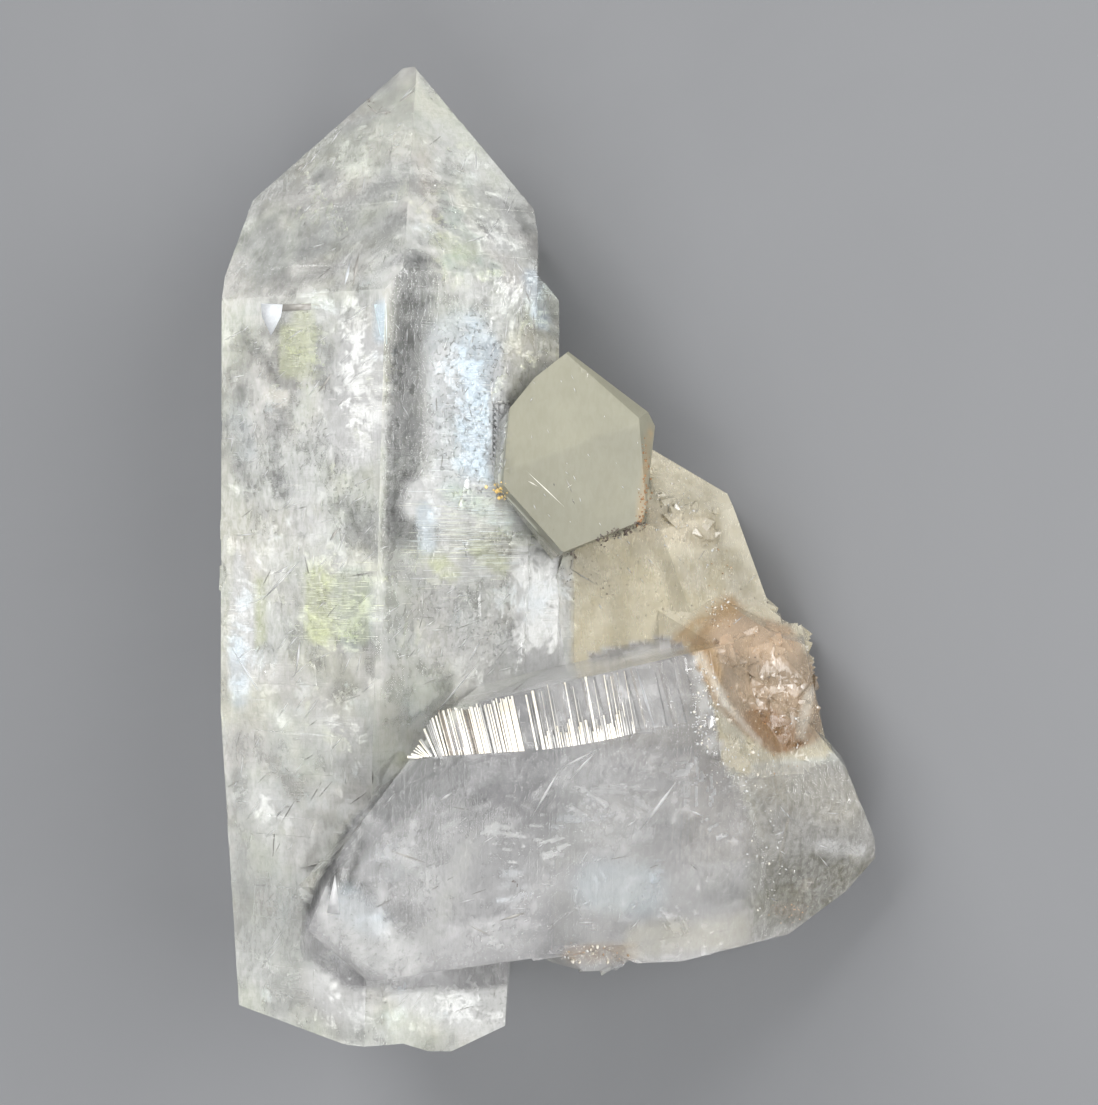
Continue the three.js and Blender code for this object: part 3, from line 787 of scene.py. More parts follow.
def painting(points):
    """Colours at growth-frame points, on left and right prism and end faces, and the other layers."""
    x, y, z = points.T
    px, py = pictured(points)
    broad, middle, small = lumps(points, 8, 1), lumps(points, 2.8, 2), lumps(points, 1.1, 3, 3)
    grain = crisp(lumps(points, 1.7, 4, 4, 0.7), 0.25)
    hair = np.maximum(hairs(points * (1, 0.55, 1), 3.2, 5), 0.8 * hairs(points, 1.8, 6))
    hue, other = crisp(lumps(points, 5, 7), 0.4), crisp(lumps(points, 4, 8), 0.4)
    second = within(px, py, SECOND, 4) * (z > SECOND_HEIGHT)
    tip_left, tip_right = within(px, py, TIP_LEFT, 5), within(px, py, TIP_RIGHT, 5)
    tip = smooth((150 - py) / 60)
    # Painted shade along the central edge, where lumps and sparkle are calmed
    dark = within(px, py, DARK_STRIP, 14)
    low = smooth((py - 630) / 60)
    slant, upright = lumps(slanted(points, 35, 3), 1.5, 12, 4), lumps(slanted(points, 2, 4), 1.0, 13, 4)
    sides = []
    # Base value, lumpiness, strokes and streaks of the left and right prism faces, then of the left and
    # right end faces. The lower base value of the left end faces is painted shade
    for base, lumpy, strokes, streaks in (
            (0.83, 1.3, LEFT_STROKES, slant), (0.84, 1.2, RIGHT_STROKES, upright),
            (0.68, 0.6, LEFT_STROKES, slant), (0.84, 1.3, RIGHT_STROKES, upright)):
        calm = lumpy * np.clip(1 - 0.5 * tip - 0.7 * dark - 0.35 * low, 0.2, 1)
        value = base + calm * (0.3 * (crisp(broad, 0.6) - 0.5) + 0.26 * (crisp(middle, 0.4) - 0.5)
                               + 0.16 * (crisp(small, 0.4) - 0.5) + 0.1 * hair)
        value = value + 0.3 * (1 - 0.4 * low) * (crisp(streaks, 0.5) - 0.5)
        tall = shaded(np.clip(value, 0.25, 1.0), "frost")
        tall = tall * (1 - 0.05 * hue[:, None] * np.array((0.3, 0.0, 1.6)))
        tall = tall * (1 - 0.035 * other[:, None] * np.array((1.2, 0.2, 0.0)))
        sides.append(brushed(tall, px, py, strokes, grain))

    value = 0.6 + 0.16 * (crisp(broad, 0.6) - 0.5) + 0.12 * (crisp(middle, 0.4) - 0.5)
    value = value + 0.14 * (lumps(slanted(points, 70, 3), 1.5, 14, 4) - 0.5)
    value = value + 0.3 * hairs(points, 4.5, 9, 0.03)
    lower = brushed(shaded(value, "pale lilac"), px, py, SECOND_STROKES, grain)

    value = 0.9 + 0.25 * (crisp(broad, 0.6) - 0.5) + 0.2 * (crisp(middle, 0.4) - 0.5)
    milky = shaded(value, "milky") + 0.12 * crisp(small, 0.4)[:, None]
    milky = brushed(milky, px, py, BACK_STROKES, grain)
    stain = within(px, py, STAIN, 7)
    stained = shaded(1.0 + 0.1 * (grain - 0.5), "mauve")
    stained = brushed(stained, px, py, STAIN_STROKES, grain)
    milky = milky + (stained - milky) * stain[:, None]

    # The upper plane of the end face is painted lighter as painted light
    value = 0.95 + 0.12 * (crisp(broad, 0.6) - 0.5) + 0.14 * within(px, py, END_FACE_LIT_TOP, 6)
    face = brushed(shaded(value, "olive"), px, py, FACE_STROKES, grain)

    lump = smooth((px - 735) / 30) * smooth((py - 752) / 16)
    rounded = brushed(shaded(0.72 + 0.3 * (middle - 0.5), "grey"), px, py, LUMP_STROKES, grain)
    finish = finish_of(points)
    for index, tint in enumerate(sides):
        tint = tint + (lower - tint) * second[:, None]
        tint = tint + (rounded - tint) * lump[:, None]
        tint = np.where((finish == MILKY)[:, None] & (lump < 0.5)[:, None], milky, tint)
        sides[index] = np.clip(np.where((finish == SATIN)[:, None], face, tint), 0.02, 0.985)
    wander = 0.5 * lumps(points, 9, 10, 2)
    along = np.where(second > 0.5, points @ np.array(LOWER_AXIS) * 1.3, y) + wander
    sparkle = 1 - 0.35 * tip_left - 0.3 * tip_right - 0.4 * tip - 0.35 * dark - 0.4 * low
    sparkle = np.where(second > 0.5, 0.4, sparkle)
    sparkle = np.clip(sparkle * (0.75 + 0.6 * (crisp(broad, 0.7) - 0.5)), 0.08, 1)
    sparkle = np.where(finish == MILKY, 0.4 - 0.25 * stain, np.where(finish == SATIN, 0.2, sparkle))
    sparkle = np.where(lump > 0.5, 0.6, sparkle)
    pitted = 0.12 * (finish == CLEAR) * (second < 0.5) * (1 - tip_left) + 0.25 * (lump > 0.5)
    for start, stop, width, soft, amount in PITTED:
        pitted = np.maximum(pitted, amount * stroke(px, py, start, stop, width, soft))
    layers = {"along": along, "sparkle": sparkle, "pitted": pitted, "upright": smooth((x + 16.5) / 0.8)}
    return sides, layers


# Veils

# Least depths of sheets and flakes under the skin, in millimetres
SHEET_COVER, FLAKE_COVER = 0.22, 0.15


def lace_sheet(random, centre, normal, half, cell, seed, bend, holes, streak=1.0):
    """Grid points and quads of one thin, curved, wispy sheet with ragged edges, streaky one way."""
    normal = unit(np.asarray(normal, float))
    first = unit(np.cross(normal, random.normal(size=3)))
    second = np.cross(normal, first)
    across, up = (max(3, int(2 * h / cell)) for h in half)
    a, b = np.meshgrid(np.linspace(-1, 1, across + 1), np.linspace(-1, 1, up + 1), indexing="ij")
    rise = bend * a ** 2 - 0.6 * bend * b ** 2
    points = (centre + (a * half[0])[..., None] * first + (b * half[1])[..., None] * second
              + rise[..., None] * normal)
    points += random.normal(0, cell * 0.16, points.shape)
    points = points.reshape(-1, 3)
    index = np.arange(len(points)).reshape(across + 1, up + 1)
    corners = [index[:-1, :-1], index[1:, :-1], index[1:, 1:], index[:-1, 1:]]
    quads = np.stack(corners, axis=-1).reshape(-1, 4)
    middles = points[quads].mean(axis=1)
    local = middles - centre
    pattern = np.stack([local @ first / streak, local @ second * streak, local @ normal], axis=1)
    reach = np.sqrt((a[:-1, :-1] + 1 / across) ** 2 + (b[:-1, :-1] + 1 / up) ** 2).reshape(-1)
    dense = cloudiness(pattern, 0.5, seed) * 0.65 + cloudiness(pattern, 1.5, seed + 1) * 0.55
    keep = dense - 0.5 * reach ** 2 > holes
    return points, quads[keep], middles[keep]


def laced(name, sheets, inside, looks, thickness):
    """Joins lace sheets into one thin solid piece that stays under the skin."""
    points, quads, indices, start = [], [], [], 0
    for sheet_points, sheet_quads, middles, look in sheets:
        if not len(sheet_quads):
            continue
        kept = sheet_quads[inside.depth(middles) > SHEET_COVER]
        used, again = np.unique(kept, return_inverse=True)
        points.append(sheet_points[used])
        quads.append(again.reshape(-1, 4) + start)
        indices.append(np.full(len(kept), look))
        start += len(used)
    piece = mesh_piece(name, placed_all(np.concatenate(points)), np.concatenate(quads), looks,
                       np.concatenate(indices))
    activate(piece)
    solid = piece.modifiers.new("thickness", "SOLIDIFY")
    solid.thickness = thickness * MM
    solid.offset = 0
    bpy.ops.object.modifier_apply(modifier=solid.name)
    return finished(piece)


def toned(px, py):
    """Chance of a sheet and its tone at a place in the picture: white 0, blue 1, straw 2, grey 3."""
    chance, tone = 0.55, 0
    at = np.array([px]), np.array([py])
    chance -= 0.22 * within(*at, TIP_LEFT, 6)[0] + 0.08 * within(*at, TIP_RIGHT, 6)[0] + 0.4 * (py < 150)
    # Sheets turn grey under the dark strokes, among them the painted shade along the central edge, blue
    # under the snow strokes and straw under the straw and mint strokes, which are painted reflections
    for colour, start, stop, width, soft, strength, _ in RIGHT_STROKES if px > 386 else LEFT_STROKES:
        share = strength * float(stroke(*at, start, stop, width, soft)[0])
        if colour in ("smoke", "slate", "olive", "grey"):
            chance -= 0.9 * share
            tone = 3 if share > 0.25 else tone
        else:
            chance += share
            if share > 0.2:
                tone = {"snow": 1, "straw": 2, "mint": 2}.get(colour, 0)
    return chance, tone


# First numbers of the seeds of the sheets
DEEP_SEED, FRONT_SEED, LOWER_SEED, DENSE_SEED = 100, 300, 900, 2000

# Thick veils behind the brightest patches: place in the picture, half width, holes and tone
DENSE_VEILS = [
    (536, 582, 2.6, 0.3, 0), (542, 604, 2.4, 0.25, 1), (545, 630, 2.4, 0.25, 0),
    (558, 590, 1.8, 0.25, 0), (556, 625, 1.8, 0.25, 0), (524, 640, 2.2, 0.4, 0),
    (510, 600, 2.4, 0.5, 1), (350, 380, 2.6, 0.4, 0), (360, 420, 2.6, 0.4, 0), (462, 370, 3.0, 0.4, 1),
    (474, 410, 3.0, 0.35, 1), (476, 450, 2.8, 0.4, 1), (440, 510, 2.4, 0.5, 1), (500, 520, 2.2, 0.5, 1),
    (270, 820, 3.2, 0.45, 0), (240, 600, 1.6, 0.4, 1), (238, 650, 1.6, 0.4, 1), (350, 320, 2.4, 0.5, 0),
    (460, 1000, 2.6, 0.4, 0), (380, 930, 2.6, 0.5, 0),
]


class QUARTZ_OT_veils(bpy.types.Operator):
    """Spread wispy sheets and bright flakes over healed fractures inside both points"""

    bl_idname = "quartz.veils"
    bl_label = "Veils"

    def execute(self, context):
        settings = context.scene.quartz_veils
        inside = Inside(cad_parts[SOLID])
        skin = Skin(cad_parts[SOLID])
        looks = [
            plain_look("white veil", (0.97, 0.98, 0.96), (0.86, 0.88, 0.87), 0.3),
            plain_look("blue veil", (0.78, 0.9, 0.98), (0.93, 0.96, 0.98), 0.25),
            plain_look("straw veil", (0.8, 0.85, 0.6), (0.92, 0.94, 0.8), 0.25),
            plain_look("grey veil", (0.4, 0.41, 0.4), (0.62, 0.63, 0.62), 0.3),
        ]
        silver = plain_look("silvery flakes", (0.95, 0.96, 0.97), (0.9, 0.92, 0.93), 0.12, Metallic=0.85)

        random = np.random.default_rng(3)
        sheets = []
        for index in range(settings.deep_sheets):
            centre = random.uniform((-29, -42, -2), (-5, 40, 12))
            facing = unit(random.normal(size=3) * (1, 0.8, 1) + np.array((0, 0, 0.7)))
            half, bend = random.uniform(3, 10, 2), random.uniform(-2, 2)
            sheet = lace_sheet(random, centre, facing, half, 0.42, DEEP_SEED + index, bend, 0.6)
            sheets.append((*sheet, int(random.choice(4, p=(0.6, 0.15, 0.1, 0.15)))))
        laced("deep_veils", sheets, inside, looks, 0.05)

        random = np.random.default_rng(4)
        sheets, centres, normals = [], [], []
        while len(sheets) < settings.front_sheets:
            px, py = random.uniform(215, 575), random.uniform(60, 1040)
            hit = skin.below(px, py)
            draw, depth, size = random.uniform(), random.gamma(1.6, 0.7), random.uniform(0.7, 2.8, 2)
            tilt, bend, turn = random.normal(0, 0.4, 3), random.uniform(-0.6, 0.6), random.uniform()
            if hit is None or finish_of(hit[0][None])[0] or within(
                    np.array([px]), np.array([py]), SECOND, 2)[0] > 0.5:
                continue
            chance, tone = toned(px, py)
            if draw > chance:
                continue
            tone = tone if turn < 0.7 else int(turn * 40) % 4
            centre = hit[0] - hit[1] * (0.3 + depth)
            facing = unit(hit[1] + tilt)
            streak = 2.2 if len(sheets) % 3 else 1.2
            seed = FRONT_SEED + len(sheets)
            sheet = lace_sheet(random, centre, facing, size, 0.21, seed, bend, 0.57, streak)
            sheets.append((*sheet, tone))
            centres.append(centre)
            normals.append(facing)
        for px, py, half, holes, tone in DENSE_VEILS:
            place, normal = skin.below(px, py)
            seed, under = DENSE_SEED + py, place - normal * 0.4
            sheet = lace_sheet(random, under, normal, (half, half), 0.26, seed, 0.0, holes)
            sheets.append((*sheet, tone))
        laced("front_veils", sheets, inside, looks, 0.03)

        share = np.repeat(np.arange(len(centres)), 36)
        spots = np.array(centres)[share] + random.normal(0, 1.3, (len(share), 3))
        around = np.array(normals)[share]
        keep = inside.depth(spots) > FLAKE_COVER
        spots, around = spots[keep], around[keep]
        length = settings.flake * random.lognormal(-0.1, 0.5, len(spots))
        sizes = np.stack([length, length * random.uniform(0.25, 0.8, len(spots)), length * 0.5], axis=1)
        frames = random_frames(random, around, 0.5)
        tones = np.zeros(len(spots), int)
        scattered("front_flakes", FLAKE, FLAKE_FACES, [silver], spots, frames, sizes, tones)

        random = np.random.default_rng(8)
        sheets = []
        for index in range(settings.lower_sheets):
            centre = random.uniform((-20, -37, 13), (20, -17, 25))
            facing = unit(random.normal(size=3) + np.array((0.2, -0.4, 0.9)))
            half, bend = random.uniform(1.2, 5.0, 2), random.uniform(-1, 1)
            sheet = lace_sheet(random, centre, facing, half, 0.24, LOWER_SEED + index, bend, 0.66, 2.6)
            sheets.append((*sheet, int(random.choice(4, p=(0.75, 0.1, 0.0, 0.15)))))
        laced("second_point_veils", sheets, inside, looks, 0.03)
        return {"FINISHED"}


# Pieces laid on the skin where the picture shows them

def eye_ray(px, py):
    """Growth-frame direction from the camera through a point of the picture."""
    return Vector(((px - MIDDLE_X) / FOCAL_PIXELS, (MIDDLE_Y - py) / FOCAL_PIXELS, -1)).normalized()


class Skin:
    """Finds points of the skin below a place in the picture, in the growth frame."""

    def __init__(self, solid):
        points = grown_all(np.array([v.co for v in solid.data.vertices]))
        self.tree = BVHTree.FromPolygons([tuple(p) for p in points],
                                         [tuple(p.vertices) for p in solid.data.polygons])

    def below(self, px, py):
        """Place and outward normal where the picture shows the skin, or None beside it."""
        place, normal, _, _ = self.tree.ray_cast(Vector((0, 0, EYE_HEIGHT)), eye_ray(px, py))
        return None if place is None else (np.array(place), np.array(normal))


def on_plane(px, py, face, depth):
    """Where the picture's ray meets a plane that lies a depth under a face."""
    normal, distance = np.array(face[0]), face[1]
    eye, ray = np.array((0.0, 0.0, EYE_HEIGHT)), np.array(eye_ray(px, py))
    return eye + ray * ((distance - depth - eye @ normal) / (ray @ normal))


# Ridges that stand alone on the right half of the band: place across the picture, and width
LONE_RIDGES = [
    (534, 0.3), (541, 0.55), (549, 0.12), (556, 0.1), (573, 0.3), (580, 0.1), (594, 0.45), (601, 0.1),
    (612, 0.22), (618, 0.12), (625, 0.16), (632, 0.1),
]

BAR = np.array([
    (-0.5, -0.5, 0), (0.5, -0.5, 0), (0.5, 0.5, 0), (-0.5, 0.5, 0), (-0.5, 0, 1.0), (0.5, 0, 1.0),
])
BAR_FACES = np.array([
    (0, 2, 1), (0, 3, 2), (0, 1, 5), (0, 5, 4), (3, 4, 5), (3, 5, 2), (0, 4, 3), (1, 2, 5),
])


class QUARTZ_OT_striated_band(bpy.types.Operator):
    """Raise fine growth ridges on the upper face of the second point, some of them painted cream as a warm
    reflection
    """

    bl_idname = "quartz.striated_band"
    bl_label = "Striated band"

    def execute(self, context):
        random = np.random.default_rng(41)
        normal, distance = unit(BAND_FACE[0]), BAND_FACE[1]
        along = unit(np.array(LOWER_AXIS))
        rise = unit(np.cross(normal, along))
        if rise[1] < 0:
            rise = -rise
        looks = [
            # The cream look is a painted warm reflection
            plain_look("band painted warm reflection", (0.92, 0.84, 0.7), (0.96, 0.93, 0.86), 0.12),
            plain_look("band grey", (0.6, 0.59, 0.57), (0.75, 0.74, 0.72), 0.1, 0.4),
            plain_look("band shade", (0.3, 0.27, 0.23), (0.42, 0.38, 0.33), 0.15, 0.3),
        ]
        lines = []
        px = 416.0
        while px < 522:
            width = random.uniform(0.05, 0.26)
            brown = 446 < px < 474 and random.uniform() < 0.45
            high = random.uniform(0.9, 1.0)
            lines.append((px, 0.0, high, width, 2 if brown else int(random.choice(3, p=(0.8, 0.1, 0.1)))))
            px += width * PIXELS_PER_MM * random.uniform(0.8, 1.5)
        for px, width in LONE_RIDGES:
            lines.append((px, 0.0, random.uniform(0.85, 1.0), width * 0.6, 0))
            lines.append((px + 3, 0.1, random.uniform(0.5, 0.9), 0.06, 1))
        for px in np.arange(545, 632, 2.6):
            high, width = random.uniform(0.15, 0.42), random.uniform(0.1, 0.3)
            lines.append((px, 0.0, high, width, int(random.choice((0, 0, 0, 1)))))
        centres, frames, sizes, tones = [], [], [], []
        for px, low, high, width, look in lines:
            low_y = 757 - 0.06 * (px - 416) - 0.0009 * max(px - 520, 0) ** 2
            high_y = low_y - 46 * smooth((px - 414) / 34) - 22 * smooth((px - 446) / 150)
            ends = [(px + 3 - 12 * share, low_y + (high_y - low_y) * share) for share in (low, high)]
            start, stop = (on_plane(*end, BAND_FACE, 0.0) for end in ends)
            run = unit(stop - start)
            up = unit(normal + random.normal(0, 0.08) * along)
            centres.append((start + stop) / 2 + normal * 0.03)
            frames.append([run, np.cross(up, run), up])
            sizes.append([np.linalg.norm(stop - start), width, random.uniform(0.04, 0.1)])
            tones.append(look)
        scattered("striated_band", BAR, BAR_FACES, looks, centres, frames, sizes, tones)
        return {"FINISHED"}


# Patches of flashing striations in the picture: left, right, top, bottom, tones to draw from,
# straw 0, blue white 1, cream 2 or shadow 3, and count
FLASHES = [
    (281, 318, 306, 374, (0, 3, 3), 230), (306, 374, 568, 640, (0, 0, 0, 2, 3), 260),
    (279, 318, 303, 307, (3,), 5), (268, 286, 388, 408, (2,), 26), (226, 262, 545, 680, (1, 2), 40),
    (377, 387, 304, 334, (1,), 26), (417, 523, 484, 577, (1, 1, 2, 0, 3), 330),
    (455, 500, 350, 480, (1, 1, 2), 130), (390, 450, 470, 478, (2,), 4), (523, 552, 270, 326, (1,), 34),
    (340, 384, 352, 450, (2, 2, 3), 90), (260, 320, 484, 492, (2, 3), 6), (520, 562, 600, 624, (2,), 8),
]


class QUARTZ_OT_striation_flashes(bpy.types.Operator):
    """Lay striated, coloured reflections into the front faces of the tall point"""

    bl_idname = "quartz.striation_flashes"
    bl_label = "Striation flashes"

    def execute(self, context):
        random = np.random.default_rng(17)
        skin = Skin(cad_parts[SOLID])
        looks = [
            plain_look("straw flash", (0.78, 0.8, 0.58), (0.88, 0.9, 0.74), 0.25, 0.3),
            plain_look("blue white flash", (0.8, 0.88, 0.93), (0.93, 0.96, 0.98), 0.2, 0.3),
            plain_look("cream flash", (0.9, 0.88, 0.8), (0.95, 0.95, 0.9), 0.2, 0.3),
            plain_look("shadow line", (0.34, 0.34, 0.3), (0.46, 0.46, 0.42), 0.3, 0.3),
        ]
        centres, frames, sizes, tones = [], [], [], []
        for left, right, top, bottom, choices, count in FLASHES:
            for _ in range(count):
                px = (left + right) / 2 + (right - left) * random.normal(0, 0.27)
                py = (top + bottom) / 2 + (bottom - top) * random.normal(0, 0.27)
                hit = skin.below(px, py)
                reach = (right - left) / PIXELS_PER_MM * random.uniform(0.06, 0.3)
                width, tip = random.uniform(0.02, 0.065), random.normal(0, 0.12)
                tone = random.choice(choices)
                if hit is None or finish_of(hit[0][None])[0]:
                    continue
                middle, normal = hit
                across = unit(np.cross((0, 1, 0), normal))
                tilted = unit(normal + np.cross(normal, across) * tip)
                centres.append(middle - normal * 0.03)
                frames.append([across, np.cross(tilted, across), tilted])
                sizes.append([reach, width, 0.04])
                tones.append(tone)
        scattered("striation_flashes", BAR, BAR_FACES, looks, centres, frames, sizes, tones)
        return {"FINISHED"}


def sliver(start, stop, width):
    """Corners of a thin pointed line in the picture."""
    run = np.array(stop, float) - start
    side = np.array((-run[1], run[0])) / np.hypot(*run) * width / 2
    middle = (np.array(start, float) + stop) / 2
    return [tuple(start), tuple(middle + side), tuple(stop), tuple(middle - side)]


# Chips and cracks: look, white 0, haze 1, pale 2, shade 3, grey 4 or blue 5, and corners in the
# picture
CHIPS = [
    (3, sliver((574, 556), (570, 569), 1.2)), (3, sliver((570, 568), (596, 584), 1.4)),
    (0, [(261, 303), (283, 304), (281, 316), (271, 335), (262, 316)]),
    (3, [(283, 304), (311, 303), (311, 309), (282, 311)]),
    # The blue chip is a painted bluish-white highlight
    (5, [(374, 304), (386, 303), (387, 344), (380, 334)]),
    (4, [(364, 818), (346, 869), (337, 868), (338, 850)]),
    (4, [(338, 850), (337, 868), (324, 906), (319, 905)]), (1, sliver((531, 818), (560, 768), 2.5)),
    (1, sliver((558, 769), (597, 749), 2)), (1, sliver((597, 750), (568, 780), 2)),
    (1, sliver((640, 830), (677, 780), 3.5)), (1, [(327, 912), (335, 874), (340, 914)]),
    (0, sliver((636, 667), (656, 733), 2.5)), (2, sliver((526, 470), (566, 508), 1.3)),
    (2, sliver((527, 480), (538, 486), 1.1)), (2, sliver((566, 488), (572, 484), 1.0)),
    (3, sliver((566, 478), (572, 492), 1.2)), (3, sliver((359, 252), (353, 285), 3.5)),
    (0, sliver((350, 262), (345, 284), 3)), (3, sliver((366, 103), (378, 113), 1.8)),
    (3, sliver((375, 113), (390, 111), 1.8)), (0, sliver((402, 98), (419, 82), 2.2)),
    (3, sliver((400, 101), (416, 89), 1.8)), (0, sliver((413, 91), (428, 81), 2)),
    (3, sliver((296, 171), (304, 163), 2)), (3, sliver((333, 372), (318, 392), 2)),
    (3, sliver((338, 528), (330, 540), 3)), (3, sliver((300, 868), (330, 860), 1.5)),
    (1, sliver((430, 720), (480, 660), 2)), (1, sliver((470, 660), (480, 640), 2)),
    (3, sliver((500, 920), (526, 912), 3)), (3, sliver((390, 850), (425, 862), 1.6)),
    (3, sliver((470, 925), (490, 935), 1.4)), (1, sliver((690, 810), (704, 816), 2)),
    (1, sliver((440, 800), (452, 792), 2.5)), (1, sliver((300, 640), (296, 672), 2.5)),
    (0, sliver((232, 648), (258, 690), 1.4)), (1, sliver((300, 560), (262, 600), 2)),
]

# Scratched areas of the picture: across, down, count, slope in degrees and greatest length
SCRATCHED = [
    ((230, 385), (305, 560), 60, -38, 20), ((232, 385), (560, 800), 44, -40, 24),
    ((300, 400), (110, 280), 24, -42, 18), ((392, 520), (590, 690), 40, -38, 18),
    ((392, 510), (300, 480), 40, -84, 14), ((500, 556), (265, 330), 26, -80, 34),
    ((420, 540), (120, 250), 14, -60, 26), ((370, 700), (780, 950), 30, -18, 18),
    ((230, 300), (800, 1000), 14, -60, 34), ((340, 510), (985, 1020), 10, -60, 20),
    ((680, 800), (450, 640), 10, -50, 20), ((760, 860), (790, 900), 12, 30, 14),
    ((530, 640), (375, 530), 26, 60, 7), ((600, 720), (530, 620), 16, 40, 8),
]


class QUARTZ_OT_chips(bpy.types.Operator):
    """Set flat flashing chips, wedges and scratches into the skin"""

    bl_idname = "quartz.chips"
    bl_label = "Chips and scratches"

    def execute(self, context):
        skin = Skin(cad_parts[SOLID])
        looks = [
            plain_look("chip white", (0.66, 0.68, 0.7), (0.56, 0.58, 0.6), 0.42, 0.3, scale=3.5),
            plain_look("chip haze", (0.6, 0.6, 0.6), (0.74, 0.74, 0.74), 0.3, 0.5, scale=1.5),
            plain_look("chip pale", (0.62, 0.6, 0.52), (0.72, 0.7, 0.62), 0.3, 0.2, scale=1.5),
            plain_look("chip shade", (0.2, 0.19, 0.17), (0.3, 0.29, 0.27), 0.3),
            plain_look("chip grey", (0.2, 0.195, 0.18), (0.34, 0.33, 0.31), 0.14, 0.4, scale=1.2),
            plain_look("chip blue", (0.72, 0.9, 0.97), (0.85, 0.94, 0.97), 0.3, 0.3, scale=1.5),
        ]
        chips = list(CHIPS)
        random = np.random.default_rng(61)
        for (left, right), (top, bottom), count, turn, longest in SCRATCHED:
            for _ in range(count):
                middle = np.array((random.uniform(left, right), random.uniform(top, bottom)))
                angle = math.radians(turn + random.normal(0, 22))
                run = random.uniform(0.2, 1) * longest / 2 * np.array((math.cos(angle), math.sin(angle)))
                look = int(random.choice((1, 1, 1, 4)))
                chips.append((look, sliver(middle - run, middle + run, random.uniform(0.5, 1.2))))
        points, faces, indices = [], [], []
        for index, (look, corners) in enumerate(chips):
            hits = [skin.below(*corner) for corner in corners]
            if any(hit is None for hit in hits):
                continue
            normal = unit(np.mean([hit[1] for hit in hits], axis=0))
            if index >= len(CHIPS) and max(abs((hit[0] - hits[0][0]) @ normal) for hit in hits) > 0.6:
                continue
            count, start = len(hits), len(points)
            points += [hit[0] + normal * 0.03 for hit in hits] + [hit[0] - normal * 0.05 for hit in hits]
            for k in range(1, count - 1):
                under = start + count
                faces += [(start, start + k + 1, start + k), (under, under + k, under + k + 1)]
            for k in range(count):
                a, b = start + k, start + (k + 1) % count
                faces += [(a, b, b + count), (a, b + count, a + count)]
            indices += [look] * (2 * (count - 2) + 2 * count)
        piece = mesh_piece("chips_and_scratches", placed_all(np.array(points)), faces, looks, indices)
        activate(piece)
        bpy.ops.object.mode_set(mode="EDIT")
        bpy.ops.mesh.select_all(action="SELECT")
        bpy.ops.mesh.normals_make_consistent(inside=False)
        bpy.ops.object.mode_set(mode="OBJECT")
        finished(piece)
        return {"FINISHED"}


def druzy_point():
    """A six-sided point on a short six-sided stem, about one unit across and high."""
    turn = np.arange(6) * np.pi / 3
    ring = np.stack([0.5 * np.cos(turn), 0.5 * np.sin(turn)], axis=1)
    base = np.c_[ring, np.full(6, -0.4)]
    rim = np.c_[ring, np.full(6, 0.45)]
    points = np.concatenate([base, rim, [(0, 0, 1.0), (0, 0, -0.4)]])
    faces = []
    for a in range(6):
        b = (a + 1) % 6
        faces += [(a, b, b + 6), (a, b + 6, a + 6), (a + 6, b + 6, 12), (b, a, 13)]
    return points, np.array(faces)


# Fields of crust in the picture: middle, half size, count, size of the points, and the shares of
# clear, cream and iron-stained ones
CRUST_FIELDS = [
    ((752, 690), (56, 60), 36, 0.24, (0.3, 0.5, 0.2)), ((722, 614), (18, 14), 40, 0.3, (0.2, 0.4, 0.4)),
    ((672, 505), (24, 42), 130, 0.3, (0.6, 0.4, 0.0)),
    ((704, 700), (14, 52), 110, 0.42, (0.7, 0.3, 0.0)),
    ((640, 560), (46, 22), 20, 0.25, (0.3, 0.5, 0.2)), ((594, 954), (38, 9), 46, 0.4, (0.3, 0.6, 0.1)),
    ((800, 730), (10, 22), 24, 0.35, (0.3, 0.5, 0.2)), ((742, 770), (36, 26), 70, 0.4, (0.8, 0.2, 0.0)),
    ((765, 860), (22, 60), 40, 0.36, (0.7, 0.3, 0.0)),
    ((718, 575), (14, 40), 70, 0.34, (0.3, 0.5, 0.2)),
]


class QUARTZ_OT_crust(bpy.types.Operator):
    """Grow a crust of tiny points over the stained lump and along the contacts"""

    bl_idname = "quartz.crust"
    bl_label = "Druzy crust"

    def execute(self, context):
        settings = context.scene.quartz_crust
        random = np.random.default_rng(29)
        skin = Skin(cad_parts[SOLID])
        looks = [
            plain_look("druzy clear", (0.9, 0.9, 0.88), (0.98, 0.98, 0.97), 0.08, 0.6),
            plain_look("druzy cream", (0.85, 0.78, 0.66), (0.92, 0.88, 0.8), 0.12, 0.4),
            plain_look("druzy iron", (0.5, 0.32, 0.18), (0.62, 0.46, 0.3), 0.15, 0.4),
        ]
        centres, normals, lengths, tones = [], [], [], []
        points, faces = druzy_point()
        for (px, py), (half_x, half_y), count, scale, mix in CRUST_FIELDS:
            for _ in range(count):
                turn, reach = random.uniform(0, 2 * np.pi), np.sqrt(random.uniform())
                hit = skin.below(px + half_x * reach * np.cos(turn), py + half_y * reach * np.sin(turn))
                look = int(random.choice(3, p=mix))
                length = settings.point_height * scale * random.lognormal(-0.1, 0.4)
                if hit is None:
                    continue
                centres.append(hit[0])
                normals.append(hit[1])
                lengths.append(length)
                tones.append(look)
        frames = random_frames(random, np.array(normals), 0.4)
        lengths = np.array(lengths)
        wide = lengths * random.uniform(0.5, 0.9, len(lengths))
        sizes = np.stack([wide, wide, lengths], axis=1)
        scattered("druzy_crust", points, faces, looks, centres, frames, sizes, tones)
        return {"FINISHED"}


GRAIN = np.array([(1, 0, 0), (-1, 0, 0), (0, 1, 0), (0, -1, 0), (0, 0, 1), (0, 0, -1)]) * 0.5
GRAIN_FACES = np.array([
    (0, 2, 4), (2, 1, 4), (1, 3, 4), (3, 0, 4), (2, 0, 5), (1, 2, 5), (3, 1, 5), (0, 3, 5),
])


